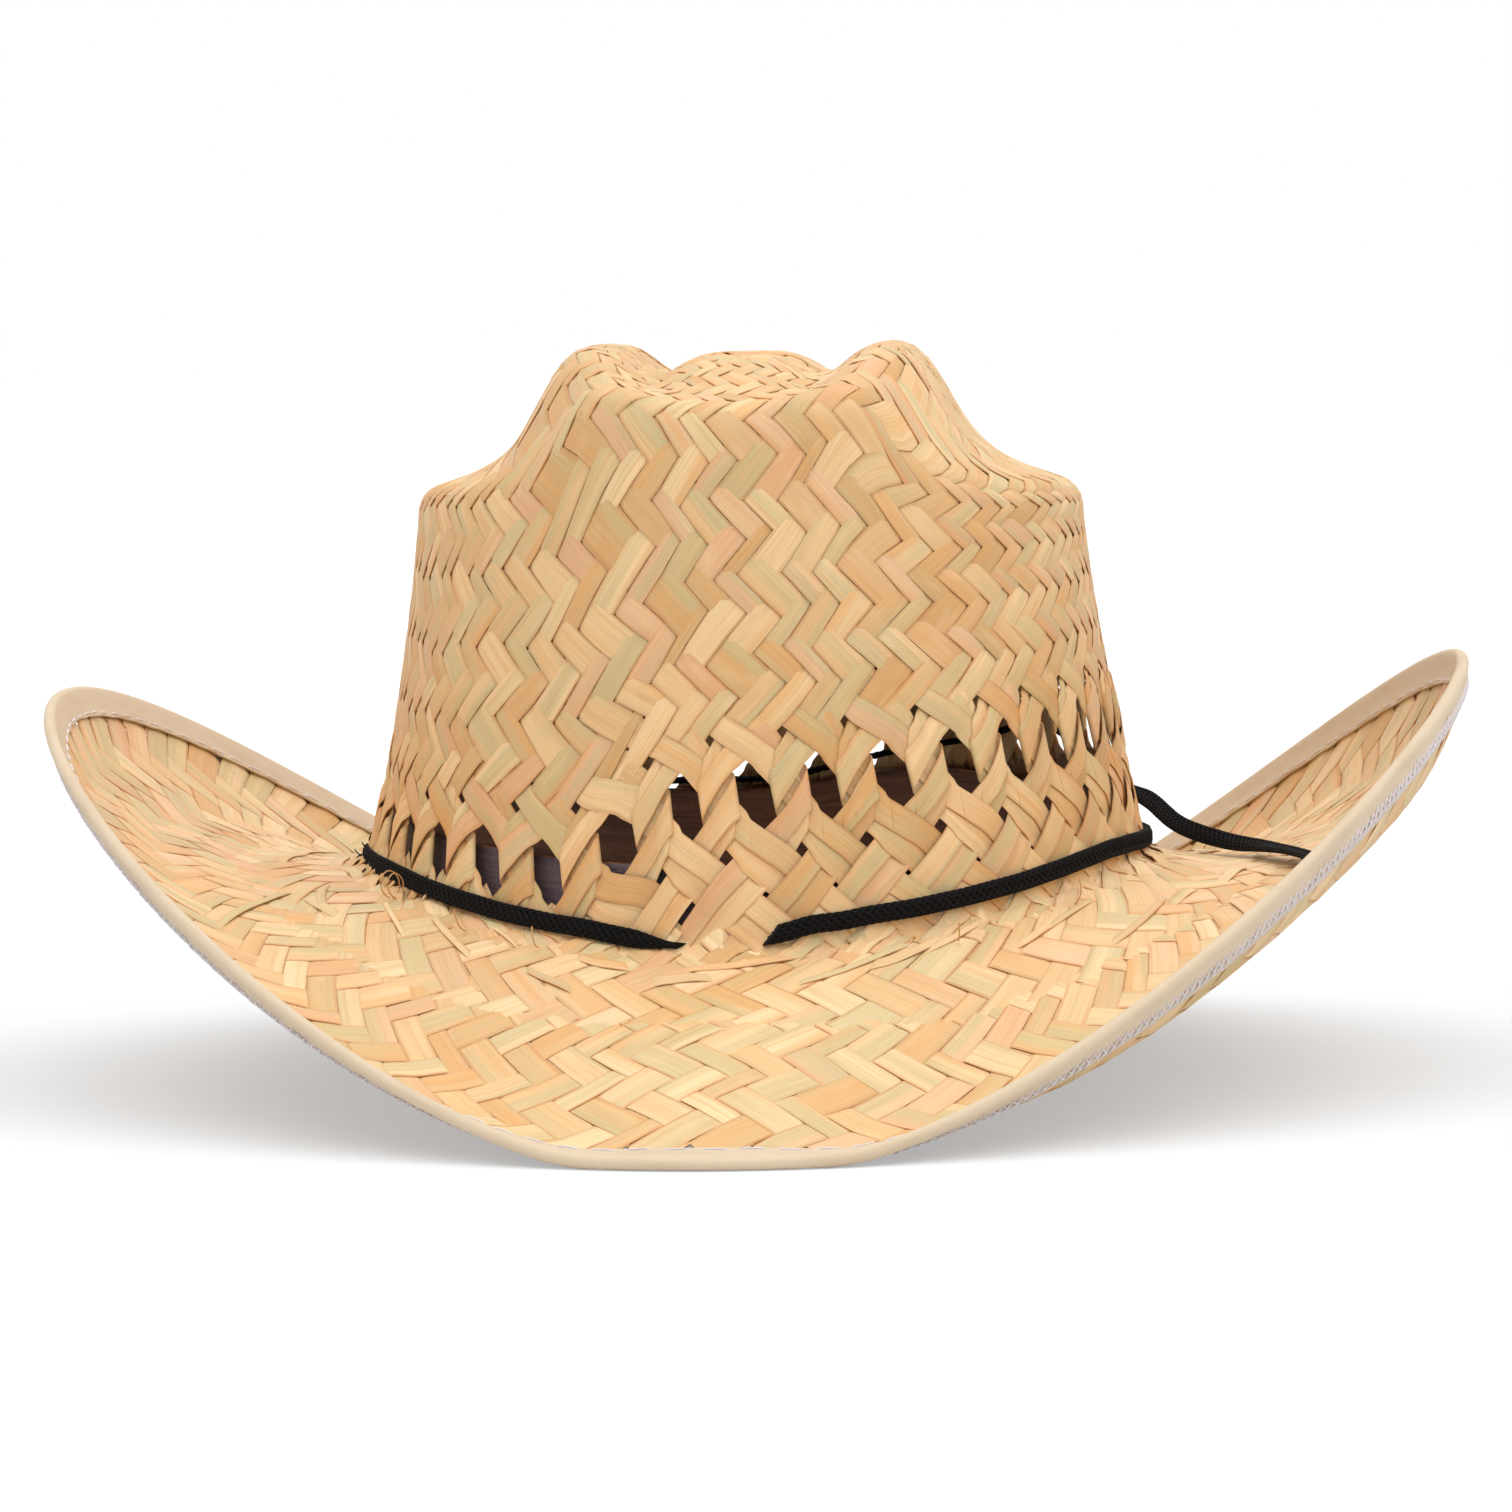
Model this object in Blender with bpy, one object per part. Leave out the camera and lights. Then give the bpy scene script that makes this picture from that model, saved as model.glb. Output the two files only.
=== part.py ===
"""Woven palm-straw hat with a creased crown, an open vent row, rolled side brims, a bound edge and cords.

Metres. The wearer looks along -Y, +X is the wearer's left, +Z is up and the hat rests on z = 0.
Angle 0 of every ring is +X and -90 degrees is the front centre.
"""

import math

import bmesh
import bpy
from mathutils import Vector

CLEARANCE = 0.0003

# Woven body
STRAW_THICKNESS = 0.0012
BASE_HALF_WIDTH = 0.0865
BASE_HALF_LENGTH = 0.1040
BASE_FRONT_Z = 0.0354
BASE_SIDE_RISE = 0.0133
SHOULDER_HALF_WIDTH = 0.0738
SHOULDER_HALF_LENGTH = 0.0885
WALL_FLARE = 1.35
# The blocked crown leans a little to the wearer's right
CROWN_LEAN = -0.0008
FOLD_SOFTNESS = 0.05

# Creases of the crown top, from the front fold to the middle of the crown
FOLD_TOP_Z = 0.1500
MIDDLE_RISE = 0.0098
CREASE_RUN = 0.045
RIDGE_X_AT_FOLD = 0.0255
RIDGE_X_SPREAD = 0.0080
RIDGE_RISE = 0.0030
VALLEY_DEPTH = 0.0058
VALLEY_SHARE = 0.56
VALLEY_WIDTH = 0.0070
DENT_Z = 0.1300
DENT_FRONT_DROP = 0.0045
DENT_SLOPE = 0.30
DENT_EDGE = 0.0745

# Lift of the base band's outer face off the brim line, which keeps its inner face clear
BAND_FOOT = 0.0007

# Open vent row
VENT_COUNT = 36
VENT_PHASE = math.radians(-92.8)
VENT_LOW_HEIGHT = 0.0085
VENT_HEIGHT_GAIN = 0.0225
# The row sags a little here, right of the front for the wearer
VENT_DIP = 0.0082
VENT_DIP_AT = -115
VENT_DIP_SPAN = 12
# and stands a little higher here, left of the front
VENT_LIFT = 0.0028
VENT_LIFT_AT = -66
VENT_LIFT_SPAN = 26
# How far hand-made strands stand from their even places, in strands
VENT_STRAY = {29: -0.10, 30: -0.20, 31: -0.25, 32: -0.25, 33: -0.04, 34: 0.01, 35: 0.25, 0: 0.11, 1: 0.11, 2: -0.04,
              3: 0.07, 4: 0.18, 5: 0.12, 6: 0.20, 7: 0.20, 8: 0.10}
VENT_BELOW = 0.0060
VENT_ABOVE = 0.0078
STRAND_WIDTH = 0.0070
STRAND_WAIST = 0.0052
STRAND_BULGE = 0.0016
STRAND_LEAN = 0.25
STRAND_SINK = 0.0005
STRAND_END_GAP = 0.0006

# Brim edge as seen from above, and its height round the hat
RIM_HALF_WIDTH = 0.1560
RIM_HALF_LENGTH = 0.1920
RIM_SQUARE_X = 0.08
RIM_SQUARE_Y = 0.018
RIM_MEAN_Z = 0.0398
RIM_ROLL = 0.0436
RIM_ROLL_SHARP = 0.0030
RIM_BACK_RISE = 0.0036
RIM_BACK_SHAPE = 0.0031
RIM_RIGHT_RISE = 0.0017
RIM_RIGHT_SHAPE = 0.0010
RIM_FLOOR_Z = 0.0020
RIM_EASE = 0.0015

# Brim profile: slopes where it leaves the crown and where it ends, in degrees
START_SLOPE_FRONT = -18.0
START_SLOPE_LEFT = -8.0
START_SLOPE_RIGHT = -14.0
END_SLOPE_FRONT = -20.0
END_SLOPE_LEFT = 66.0
END_SLOPE_RIGHT = 86.0
PROFILE_PULL = 0.40

# Edge wire, binding tape and its thread
WIRE_RADIUS = 0.0005
WIRE_OFFSET = 0.0010
WIRE_END_GAP = 0.6
TAPE_THICKNESS = 0.0005
TAPE_WIDTH = 0.0070
STITCH_INSET = 0.0048
THREAD_RADIUS = 0.00025

# Sweatband
BAND_THICKNESS = 0.0012
BAND_TO_WALL = 0.0025
BAND_TOP_Z = 0.0535
BAND_TOP_RISE = 0.0066
BAND_BACK_RISE = 0.0035
BAND_BUMP = 0.0045
BAND_BUMP_AT = 66
BAND_BUMP_SPAN = 20
BAND_BELOW_BASE = 0.0010
BAND_SEAM_HALF = 1.0
SEAM_TAPE_HALF = 7.0
SEAM_TAPE_THICKNESS = 0.0005
BAND_STITCH_HEIGHT = 0.0022

# Cords
BRAID_WIDTH = 0.0040
BRAID_THICKNESS = 0.0015
BRAID_HEIGHT = 0.0028
# On the right of the front the cord sits higher, between these bearings
BRAID_RISE = 0.0024
BRAID_RISE_FROM = -82
BRAID_RISE_EASE = 12
BRAID_RISE_TO = 0
BRAID_FALL_EASE = 30
BRAID_LEFT_END = 187.0
BRAID_END_GAP = 8.0
BRAID_TUCK_FROM = -97.0
BRAID_TUCK_TO = -84.6
NOTCH_SPAN = 6.5
NOTCH_HEIGHT = 0.0052
CHIN_RADIUS = 0.0015
CHIN_POINTS = 50
KNOT_RADIUS = 0.0033
CHIN_INSIDE_OFFSET = -0.0050
# Degrees round and lift off the sweatband's top edge
CHIN_INSIDE = ((126, 0.0018), (120, 0.0008), (112, 0), (102, 0), (90, 0), (78, 0.0012), (66, 0.0027), (57, 0.0047))
# The vent that the cord leaves by, counted from the first strand
CHIN_VENT = 14
# Degrees past that vent, height above the vent row's middle and distance outside the wall
CHIN_VENT_PASS = ((3.5, -0.001, -0.0045), (0, 0.000, -0.0005), (-4, -0.004, 0.0045), (-13, -0.0178, 0.0075),
                  (-23, -0.0226, 0.0078))
# Degrees round, share of the brim's width and lift off the brim
CHIN_ON_BRIM = ((10, 0.09, 0.0035), (2, 0.19, 0.0009), (-5, 0.29, 0.0003), (-12, 0.40, 0.0003),
                (-18, 0.52, 0.0003), (-24, 0.61, 0.0006), (-28, 0.65, 0.0018))

RING_STEPS = 64
FULL_TURN = 2 * math.pi


def smooth(value):
    value = min(1.0, max(0.0, value))
    return value * value * (3 - 2 * value)


def mix(start, end, share):
    return start + (end - start) * share


def base_z(angle):
    return BASE_FRONT_Z + BASE_SIDE_RISE * math.cos(angle) ** 2


def base_point(angle):
    return Vector((BASE_HALF_WIDTH * math.cos(angle), BASE_HALF_LENGTH * math.sin(angle), base_z(angle)))


def top_z(x, y):
    """Height of the creased crown top: three front-to-back ridges with a dent outside each outer one."""
    across = abs(x)
    from_fold = SHOULDER_HALF_LENGTH - abs(y)
    inner = smooth(from_fold / CREASE_RUN)
    ridge_x = RIDGE_X_AT_FOLD + RIDGE_X_SPREAD * inner
    ridge = RIDGE_RISE * min(1.3, across / ridge_x) ** 2
    valley = math.exp(-(((across - VALLEY_SHARE * ridge_x) / VALLEY_WIDTH) ** 2))
    valley *= VALLEY_DEPTH * smooth((from_fold - 0.004) / 0.03)
    raised = FOLD_TOP_Z + MIDDLE_RISE * inner + ridge - valley
    dent = DENT_Z - DENT_FRONT_DROP * smooth((abs(y) - 0.015) / 0.055)
    dent += DENT_SLOPE * max(0.0, DENT_EDGE - across)
    step_x = ridge_x + 0.0055 + 0.0035 * inner
    share = 1 / (1 + math.exp((across - step_x) / (0.0030 + 0.0010 * inner)))
    return mix(dent, raised, share)


def top_point(angle, reach):
    """A point of the crown top: reach 1 is the fold at its edge and 0 its centre."""
    x = SHOULDER_HALF_WIDTH * math.cos(angle) * reach
    y = SHOULDER_HALF_LENGTH * math.sin(angle) * reach
    return Vector((x + CROWN_LEAN, y, top_z(x, y)))


def fold_point(angle):
    return top_point(angle, 1.0)


def raw_crown(angle, along):
    """Outside of the crown: along 0 to 1 runs up the wall and 1 to 2 runs over the top to its centre."""
    base = base_point(angle)
    fold = fold_point(angle)
    if along <= 1:
        flare = (1 - max(0.0, along)) ** WALL_FLARE
        rise = base.z + (fold.z - base.z) * along
        return Vector((mix(fold.x, base.x, flare), mix(fold.y, base.y, flare), rise))
    return top_point(angle, 2 - along)


def crown_point(angle, along):
    reach = min(FOLD_SOFTNESS, max(0.0, along), 2 - along)
    samples = [raw_crown(angle, along + reach * step) for step in (-1, -0.5, 0, 0.5, 1)]
    return sum(samples, Vector()) / len(samples)


def surface_normal(surface, angle, along, step=0.01):
    """Unit normal of a surface given as surface(angle, along), on the left of its run."""
    around = surface(angle + step, along) - surface(angle - step, along)
    outward = surface(angle, along + step) - surface(angle, along - step)
    return around.cross(outward).normalized()


def crown_offset(angle, along, offset):
    return crown_point(angle, along) + surface_normal(crown_point, angle, along) * offset


def wall_along(angle, height):
    """How far up the wall a height above the brim line is, on the scale of crown_point."""
    return height / (fold_point(angle).z - base_z(angle))


def wall_offset(angle, height, offset):
    return crown_offset(angle, wall_along(angle, height), offset)


def vent_height(angle):
    """Height of the vent row's middle above the brim line; it runs low on the wearer's right."""
    turned = math.degrees(math.atan2(math.sin(angle), math.cos(angle)))
    level = VENT_LOW_HEIGHT + VENT_HEIGHT_GAIN * smooth((150 - abs(turned)) / 62)
    return (level - VENT_DIP * math.exp(-((turned - VENT_DIP_AT) / VENT_DIP_SPAN) ** 2)
            + VENT_LIFT * math.exp(-((turned - VENT_LIFT_AT) / VENT_LIFT_SPAN) ** 2))


def rim_point(angle):
    x = RIM_HALF_WIDTH * (math.cos(angle) + RIM_SQUARE_X * math.cos(3 * angle)) / (1 + RIM_SQUARE_X)
    y = RIM_HALF_LENGTH * (math.sin(angle) + RIM_SQUARE_Y * math.sin(3 * angle)) / (1 - RIM_SQUARE_Y)
    z = RIM_MEAN_Z + RIM_ROLL * math.cos(2 * angle) + RIM_ROLL_SHARP * math.cos(4 * angle)
    z += RIM_BACK_RISE * math.sin(angle) + RIM_BACK_SHAPE * math.sin(3 * angle)
    z += RIM_RIGHT_RISE * math.cos(angle) + RIM_RIGHT_SHAPE * math.cos(3 * angle)
    above = z - RIM_FLOOR_Z
    if above < RIM_EASE:
        above = max(0.0, above + RIM_EASE) ** 2 / (4 * RIM_EASE)
    return Vector((x, y, RIM_FLOOR_Z + above))


def brim_slopes(angle):
    across = math.cos(angle)
    right = 0.5 + 0.5 * math.tanh(across / 0.25)
    start_side = mix(START_SLOPE_LEFT, START_SLOPE_RIGHT, right)
    end_side = mix(END_SLOPE_LEFT, END_SLOPE_RIGHT, right)
    start = mix(START_SLOPE_FRONT, start_side, abs(across) ** 1.2)
    end = mix(END_SLOPE_FRONT, end_side, smooth(abs(across)))
    return math.radians(start), math.radians(end)


def brim_point(angle, share):
    """Top of the brim: share 0 is the crown line and 1 the edge."""
    base = base_point(angle)
    rim = rim_point(angle)
    outward = Vector((rim.x - base.x, rim.y - base.y, 0))
    run = outward.length
    rise = rim.z - base.z
    pull = PROFILE_PULL * math.hypot(run, rise)
    start, end = brim_slopes(angle)
    left = 1 - share
    w1 = 3 * share * left * left
    w2 = 3 * share * share * left
    w3 = share ** 3
    across = w1 * pull * math.cos(start) + w2 * (run - pull * math.cos(end)) + w3 * run
    up = w1 * pull * math.sin(start) + w2 * (rise - pull * math.sin(end)) + w3 * rise
    return base + outward * (across / run) + Vector((0, 0, up))


def brim_up(angle, share):
    return -surface_normal(brim_point, angle, share)


def brim_offset(angle, share, offset):
    """A point off the top of the brim; a negative offset is under it."""
    return brim_point(angle, share) + brim_up(angle, share) * offset


def share_from_edge(angle, distance):
    """Share of the brim's width at a distance in from its edge."""
    return 1 - distance / ((brim_point(angle, 1) - brim_point(angle, 0.9)).length / 0.1)


def ring_angles():
    return [FULL_TURN * i / RING_STEPS - math.pi for i in range(RING_STEPS)]


def evenly_round(count, phase):
    """Angles that share the vent row's length nearly evenly, the first of them at phase."""
    fine = [phase + FULL_TURN * i / 1440 for i in range(1441)]
    points = [crown_point(angle, wall_along(angle, vent_height(angle))) for angle in fine]
    length = [0.0]
    for here, there in zip(points, points[1:]):
        length.append(length[-1] + (there - here).length)
    found = []
    at = 0
    for k in range(count):
        wanted = length[-1] * (k + VENT_STRAY.get(k, 0)) / count
        while length[at + 1] < wanted:
            at += 1
        found.append(fine[at] + (fine[at + 1] - fine[at]) * (wanted - length[at]) / (length[at + 1] - length[at]))
    return found


def material(name, color, roughness):
    made = bpy.data.materials.new(name)
    made.use_nodes = True
    shader = made.node_tree.nodes["Principled BSDF"]
    shader.inputs["Base Color"].default_value = (*color, 1)
    shader.inputs["Roughness"].default_value = roughness
    return made


STRAW = (0.72, 0.50, 0.26)
COTTON = (0.72, 0.62, 0.48)
THREAD = (0.85, 0.80, 0.70)
BLACK = (0.012, 0.010, 0.010)
VINYL = (0.055, 0.035, 0.035)
STEEL = (0.45, 0.45, 0.47)


def add_body(name, points, faces, color, roughness=0.7):
    mesh = bpy.data.meshes.new(name)
    mesh.from_pydata([tuple(point) for point in points], [], faces)
    shape = bmesh.new()
    shape.from_mesh(mesh)
    bmesh.ops.recalc_face_normals(shape, faces=shape.faces)
    # The shorter diagonal everywhere, so that two surfaces a gap apart fold the same way
    bmesh.ops.triangulate(shape, faces=shape.faces[:], quad_method="SHORT_EDGE")
    shape.to_mesh(mesh)
    shape.free()
    body = bpy.data.objects.new(name, mesh)
    bpy.context.scene.collection.objects.link(body)
    mesh.materials.append(material(name, color, roughness))
    return body


def bridge(first, second, size):
    """Quads between two rings of size points that start at first and second."""
    return [(first + k, first + (k + 1) % size, second + (k + 1) % size, second + k) for k in range(size)]


def add_sweep(name, sections, color, closed, roughness=0.7):
    """A body through equal cross-sections, as a closed ring or with flat ends."""
    size = len(sections[0])
    points = [point for section in sections for point in section]
    faces = []
    for k in range(len(sections) - 1):
        faces += bridge(k * size, (k + 1) * size, size)
    last = (len(sections) - 1) * size
    if closed:
        faces += bridge(last, 0, size)
    else:
        faces += [tuple(range(size)), tuple(range(last, last + size))]
    return add_body(name, points, faces, color, roughness)


def round_section(centre, across, up, radius, sides):
    turns = [FULL_TURN * k / sides for k in range(sides)]
    return [centre + across * (radius * math.cos(turn)) + up * (radius * math.sin(turn)) for turn in turns]


def crown_upper():
    """Everything of the crown above the vents, as one skin of woven straw."""
    angles = ring_angles()
    rows_up = (0.0, 0.25, 0.5, 0.75, 0.92)
    rows_over = (1.0, 1.06, 1.14, 1.24, 1.35, 1.46, 1.57, 1.68, 1.79, 1.9)
    points = []
    for offset in (0.0, -STRAW_THICKNESS):
        for row in rows_up + rows_over:
            for angle in angles:
                along = row
                if row < 1:
                    lowest = wall_along(angle, vent_height(angle) + VENT_ABOVE)
                    along = mix(lowest, 1.0, row)
                points.append(crown_offset(angle, along, offset))
        points.append(top_point(0, 0) + Vector((0, 0, offset)))
    rows = len(rows_up) + len(rows_over)
    size = len(angles)
    inner = rows * size + 1
    faces = bridge(0, inner, size)
    for start in (0, inner):
        for row in range(rows - 1):
            faces += bridge(start + row * size, start + (row + 1) * size, size)
        last = start + (rows - 1) * size
        pole = start + rows * size
        faces += [(last + k, last + (k + 1) % size, pole) for k in range(size)]
    add_body("crown_upper", points, faces, STRAW)


def notch_height(degrees_round):
    """How far the base band is lifted to let the hat cord pass under the weave at the front."""
    first = min(degrees_round - (BRAID_TUCK_FROM - NOTCH_SPAN), BRAID_TUCK_FROM - degrees_round)
    second = min(degrees_round - BRAID_TUCK_TO, BRAID_TUCK_TO + NOTCH_SPAN - degrees_round)
    return NOTCH_HEIGHT if max(first, second) > 0 else 0.0


def band_angles():
    """The ring's angles, with a close pair at each side of both notches."""
    edges = (BRAID_TUCK_FROM - NOTCH_SPAN, BRAID_TUCK_FROM, BRAID_TUCK_TO, BRAID_TUCK_TO + NOTCH_SPAN)
    pairs = [math.radians(edge + side) for edge in edges for side in (-0.15, 0.15)]
    apart = math.radians(1.2)
    kept = [angle for angle in ring_angles() if all(abs(angle - other) > apart for other in pairs)]
    return sorted(kept + pairs)


def crown_base_band():
    """The woven band between the brim line and the vents."""
    sections = []
    for angle in band_angles():
        low = BAND_FOOT + notch_height(math.degrees(angle))
        high = vent_height(angle) - VENT_BELOW
        low = min(low, high - 0.0015)
        heights = [mix(low, high, share) for share in (0, 0.35, 0.7, 1)]
        outer = [wall_offset(angle, height, 0.0) for height in heights]
        inner = [wall_offset(angle, height, -STRAW_THICKNESS) for height in reversed(heights)]
        sections.append(outer + inner)
    add_sweep("crown_base_band", sections, STRAW, closed=True)


def strand_section(angle, share):
    """One level of a twisted pair of strips: flat at both ends, rounder and turned at the waist."""
    waist = math.sin(math.pi * share) ** 2
    half_turn = mix(STRAND_WIDTH, STRAND_WAIST, waist) / 2 / (crown_point(angle + 0.5, 0.3)
                                                              - crown_point(angle - 0.5, 0.3)).length
    half_depth = (STRAW_THICKNESS + STRAND_BULGE * waist) / 2
    section = []
    for across, deep in ((-1, 0), (-0.6, -1), (0.6, -1), (1, 0), (0.6, 1), (-0.6, 1)):
        place = angle + across * half_turn
        low = vent_height(place) - VENT_BELOW + STRAND_END_GAP
        high = vent_height(place) + VENT_ABOVE - STRAND_END_GAP
        lean = half_depth * STRAND_LEAN * waist * across
        offset = deep * half_depth + lean - STRAW_THICKNESS / 2 - STRAND_SINK * waist
        section.append(wall_offset(place, mix(low, high, share), offset))
    return section


def vent_strands():
    for number, angle in enumerate(evenly_round(VENT_COUNT, VENT_PHASE), 1):
        levels = (0, 0.3, 0.7, 1)
        sections = [strand_section(angle, level) for level in levels]
        add_sweep(f"vent_strand_{number:02d}", sections, STRAW, closed=False)


def brim():
    """The woven brim, from under the base band to its cut edge."""
    sections = []
    for angle in ring_angles():
        under_tape = [share_from_edge(angle, distance) for distance in (TAPE_WIDTH, TAPE_WIDTH / 2)]
        shares = [0.0, 0.15, 0.32, 0.48, 0.64, 0.78] + under_tape + [1.0]
        base = base_point(angle)
        inward = Vector((base.x, base.y, 0)).normalized() * -STRAW_THICKNESS
        top = [base + inward] + [brim_point(angle, share) for share in shares]
        below = [brim_offset(angle, share, -STRAW_THICKNESS) for share in reversed(shares)]
        below.append(base + inward - Vector((0, 0, STRAW_THICKNESS)))
        sections.append(top + below)
    add_sweep("brim", sections, STRAW, closed=True)


def edge_frame(angle):
    """Middle of the brim's cut edge, the way outward and the way up off its top."""
    up = brim_up(angle, 1.0)
    outward = (brim_point(angle, 1.0) - brim_point(angle, 0.97)).normalized()
    outward = (outward - up * outward.dot(up)).normalized()
    return brim_point(angle, 1.0) - up * (STRAW_THICKNESS / 2), outward, up


def brim_wire():
    """The springy wire that holds the brim's edge in shape; its ends meet at the back."""
    sections = []
    start = math.radians(90 + WIRE_END_GAP / 2)
    span = FULL_TURN - math.radians(WIRE_END_GAP)
    for k in range(RING_STEPS + 1):
        angle = start + span * k / RING_STEPS
        middle, outward, up = edge_frame(angle)
        sections.append(round_section(middle + outward * WIRE_OFFSET, outward, up, WIRE_RADIUS, 5))
    add_sweep("brim_wire", sections, STEEL, closed=False, roughness=0.4)


def tape_section(angle):
    """The binding tape folded round the edge, open towards the crown."""
    middle, outward, up = edge_frame(angle)
    bead = middle + outward * WIRE_OFFSET
    inside = STRAW_THICKNESS / 2 + CLEARANCE
    outside = inside + TAPE_THICKNESS
    shares = [share_from_edge(angle, distance) for distance in (TAPE_WIDTH, TAPE_WIDTH / 2)]
    gap = CLEARANCE
    cover = CLEARANCE + TAPE_THICKNESS
    under = -STRAW_THICKNESS
    section = [brim_offset(angle, share, cover) for share in shares]
    for degrees_down in (90, 45, 0, -45, -90):
        turn = math.radians(degrees_down)
        section.append(bead + (outward * math.cos(turn) + up * math.sin(turn)) * outside)
    section += [brim_offset(angle, share, under - cover) for share in reversed(shares)]
    section += [brim_offset(angle, share, under - gap) for share in shares]
    for degrees_up in (-90, 0, 90):
        turn = math.radians(degrees_up)
        section.append(bead + (outward * math.cos(turn) + up * math.sin(turn)) * inside)
    section += [brim_offset(angle, share, gap) for share in reversed(shares)]
    return [Vector((point.x, point.y, max(point.z, 0.0))) for point in section]


def brim_binding():
    sections = [tape_section(angle) for angle in ring_angles()]
    add_sweep("brim_binding", sections, COTTON, closed=True, roughness=0.85)


def edge_thread(name, offset):
    """The sewing thread on one face of the binding tape."""
    sections = []
    for angle in ring_angles():
        share = share_from_edge(angle, STITCH_INSET)
        up = brim_up(angle, share)
        outward = (brim_point(angle, share) - brim_point(angle, share - 0.02)).normalized()
        sections.append(round_section(brim_offset(angle, share, offset), outward, up, THREAD_RADIUS, 4))
    add_sweep(name, sections, THREAD, closed=True)


def edge_threads():
    lift = CLEARANCE + TAPE_THICKNESS + CLEARANCE + THREAD_RADIUS
    edge_thread("binding_thread_upper", lift)
    edge_thread("binding_thread_lower", -STRAW_THICKNESS - lift)


def band_top(angle):
    """Height of the sweatband's top edge above the brim line; the strip lies more level than the brim."""
    turned = math.degrees(math.atan2(math.sin(angle), math.cos(angle)))
    level = BAND_TOP_Z + BAND_TOP_RISE * math.cos(angle) ** 2 + BAND_BACK_RISE * smooth(math.sin(angle))
    return level + BAND_BUMP * math.exp(-((turned - BAND_BUMP_AT) / BAND_BUMP_SPAN) ** 2) - base_z(angle)


def band_point(angle, height, depth):
    """A point in the sweatband: depth is measured in from its outer face."""
    level = max(0.0, height)
    point = wall_offset(angle, level, -(STRAW_THICKNESS + BAND_TO_WALL + depth))
    return point + Vector((0, 0, height - level))


def sweatband():
    start = math.radians(90 + BAND_SEAM_HALF)
    span = FULL_TURN - math.radians(2 * BAND_SEAM_HALF)
    sections = []
    for k in range(RING_STEPS + 1):
        angle = start + span * k / RING_STEPS
        heights = [mix(-BAND_BELOW_BASE, band_top(angle), share) for share in (0, 0.5, 1)]
        outer = [band_point(angle, height, 0.0) for height in heights]
        inner = [band_point(angle, height, BAND_THICKNESS) for height in reversed(heights)]
        sections.append(outer + inner)
    add_sweep("sweatband", sections, VINYL, closed=False, roughness=0.6)


def seam_tape():
    """The short tape behind the sweatband that joins its ends at the back."""
    sections = []
    for k in range(7):
        angle = math.radians(mix(90 - SEAM_TAPE_HALF, 90 + SEAM_TAPE_HALF, k / 6))
        heights = [mix(0.001, band_top(angle) - 0.001, share) for share in (0, 0.5, 1)]
        near = -(CLEARANCE + SEAM_TAPE_THICKNESS)
        outer = [band_point(angle, height, near) for height in heights]
        inner = [band_point(angle, height, -CLEARANCE) for height in reversed(heights)]
        sections.append(outer + inner)
    add_sweep("sweatband_seam_tape", sections, BLACK, closed=False)


def band_thread():
    """The thread that sews the sweatband down, along its inner face."""
    sections = []
    depth = BAND_THICKNESS + CLEARANCE + THREAD_RADIUS
    for angle in ring_angles():
        centre = band_point(angle, BAND_STITCH_HEIGHT, depth)
        out = surface_normal(crown_point, angle, wall_along(angle, BAND_STITCH_HEIGHT))
        sections.append(round_section(centre, out, Vector((0, 0, 1)), THREAD_RADIUS, 4))
    add_sweep("sweatband_thread", sections, THREAD, closed=True)


def braid_offset(degrees_round):
    """Distance of the hat cord's middle outside the wall; it dips inside at the front centre."""
    outside = CLEARANCE + BRAID_THICKNESS / 2
    inside = -(STRAW_THICKNESS + CLEARANCE + BRAID_THICKNESS / 2)
    leave = (degrees_round - (BRAID_TUCK_FROM - NOTCH_SPAN + 0.6)) / (NOTCH_SPAN - 1.2)
    join = (BRAID_TUCK_TO + NOTCH_SPAN - 0.6 - degrees_round) / (NOTCH_SPAN - 1.2)
    return mix(outside, inside, smooth(min(leave, join)))


def braid_height(degrees_round):
    """Height of the hat cord's middle; it rides higher along the right of the front."""
    rise = smooth((degrees_round - BRAID_RISE_FROM) / BRAID_RISE_EASE)
    fall = smooth((BRAID_RISE_TO - degrees_round) / BRAID_FALL_EASE)
    return BRAID_HEIGHT + BRAID_RISE * rise * fall


def braid_section(angle, across, thickness):
    degrees_round = math.degrees(math.atan2(math.sin(angle), math.cos(angle)))
    height = braid_height(degrees_round)
    normal = surface_normal(crown_point, angle, wall_along(angle, height))
    centre = wall_offset(angle, height, braid_offset(degrees_round))
    up = Vector((0, 0, 1)) - normal * normal.z
    half_up = up.normalized() * (across / 2)
    half_out = normal * (thickness / 2)
    corners = ((-1, 0), (-0.7, -1), (0.7, -1), (1, 0), (0.7, 1), (-0.7, 1))
    return [centre + half_up * high + half_out * out for high, out in corners]


def hat_cord():
    """The flat braid round the foot of the crown, from its cut end at the side right round to itself."""
    start = BRAID_TUCK_FROM - NOTCH_SPAN
    end = BRAID_TUCK_TO + NOTCH_SPAN
    tucked = [mix(start, end, k / 16) for k in range(17)]
    round_it = [mix(BRAID_LEFT_END - 360, BRAID_LEFT_END - BRAID_END_GAP, k / 60) for k in range(61)]
    kept = [value for value in round_it if not start - 2 < value < end + 2]
    sections = []
    for value in sorted(kept + tucked):
        sections.append(braid_section(math.radians(value), BRAID_WIDTH, BRAID_THICKNESS))
    add_sweep("hat_cord", sections, BLACK, closed=False, roughness=0.9)


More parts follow.
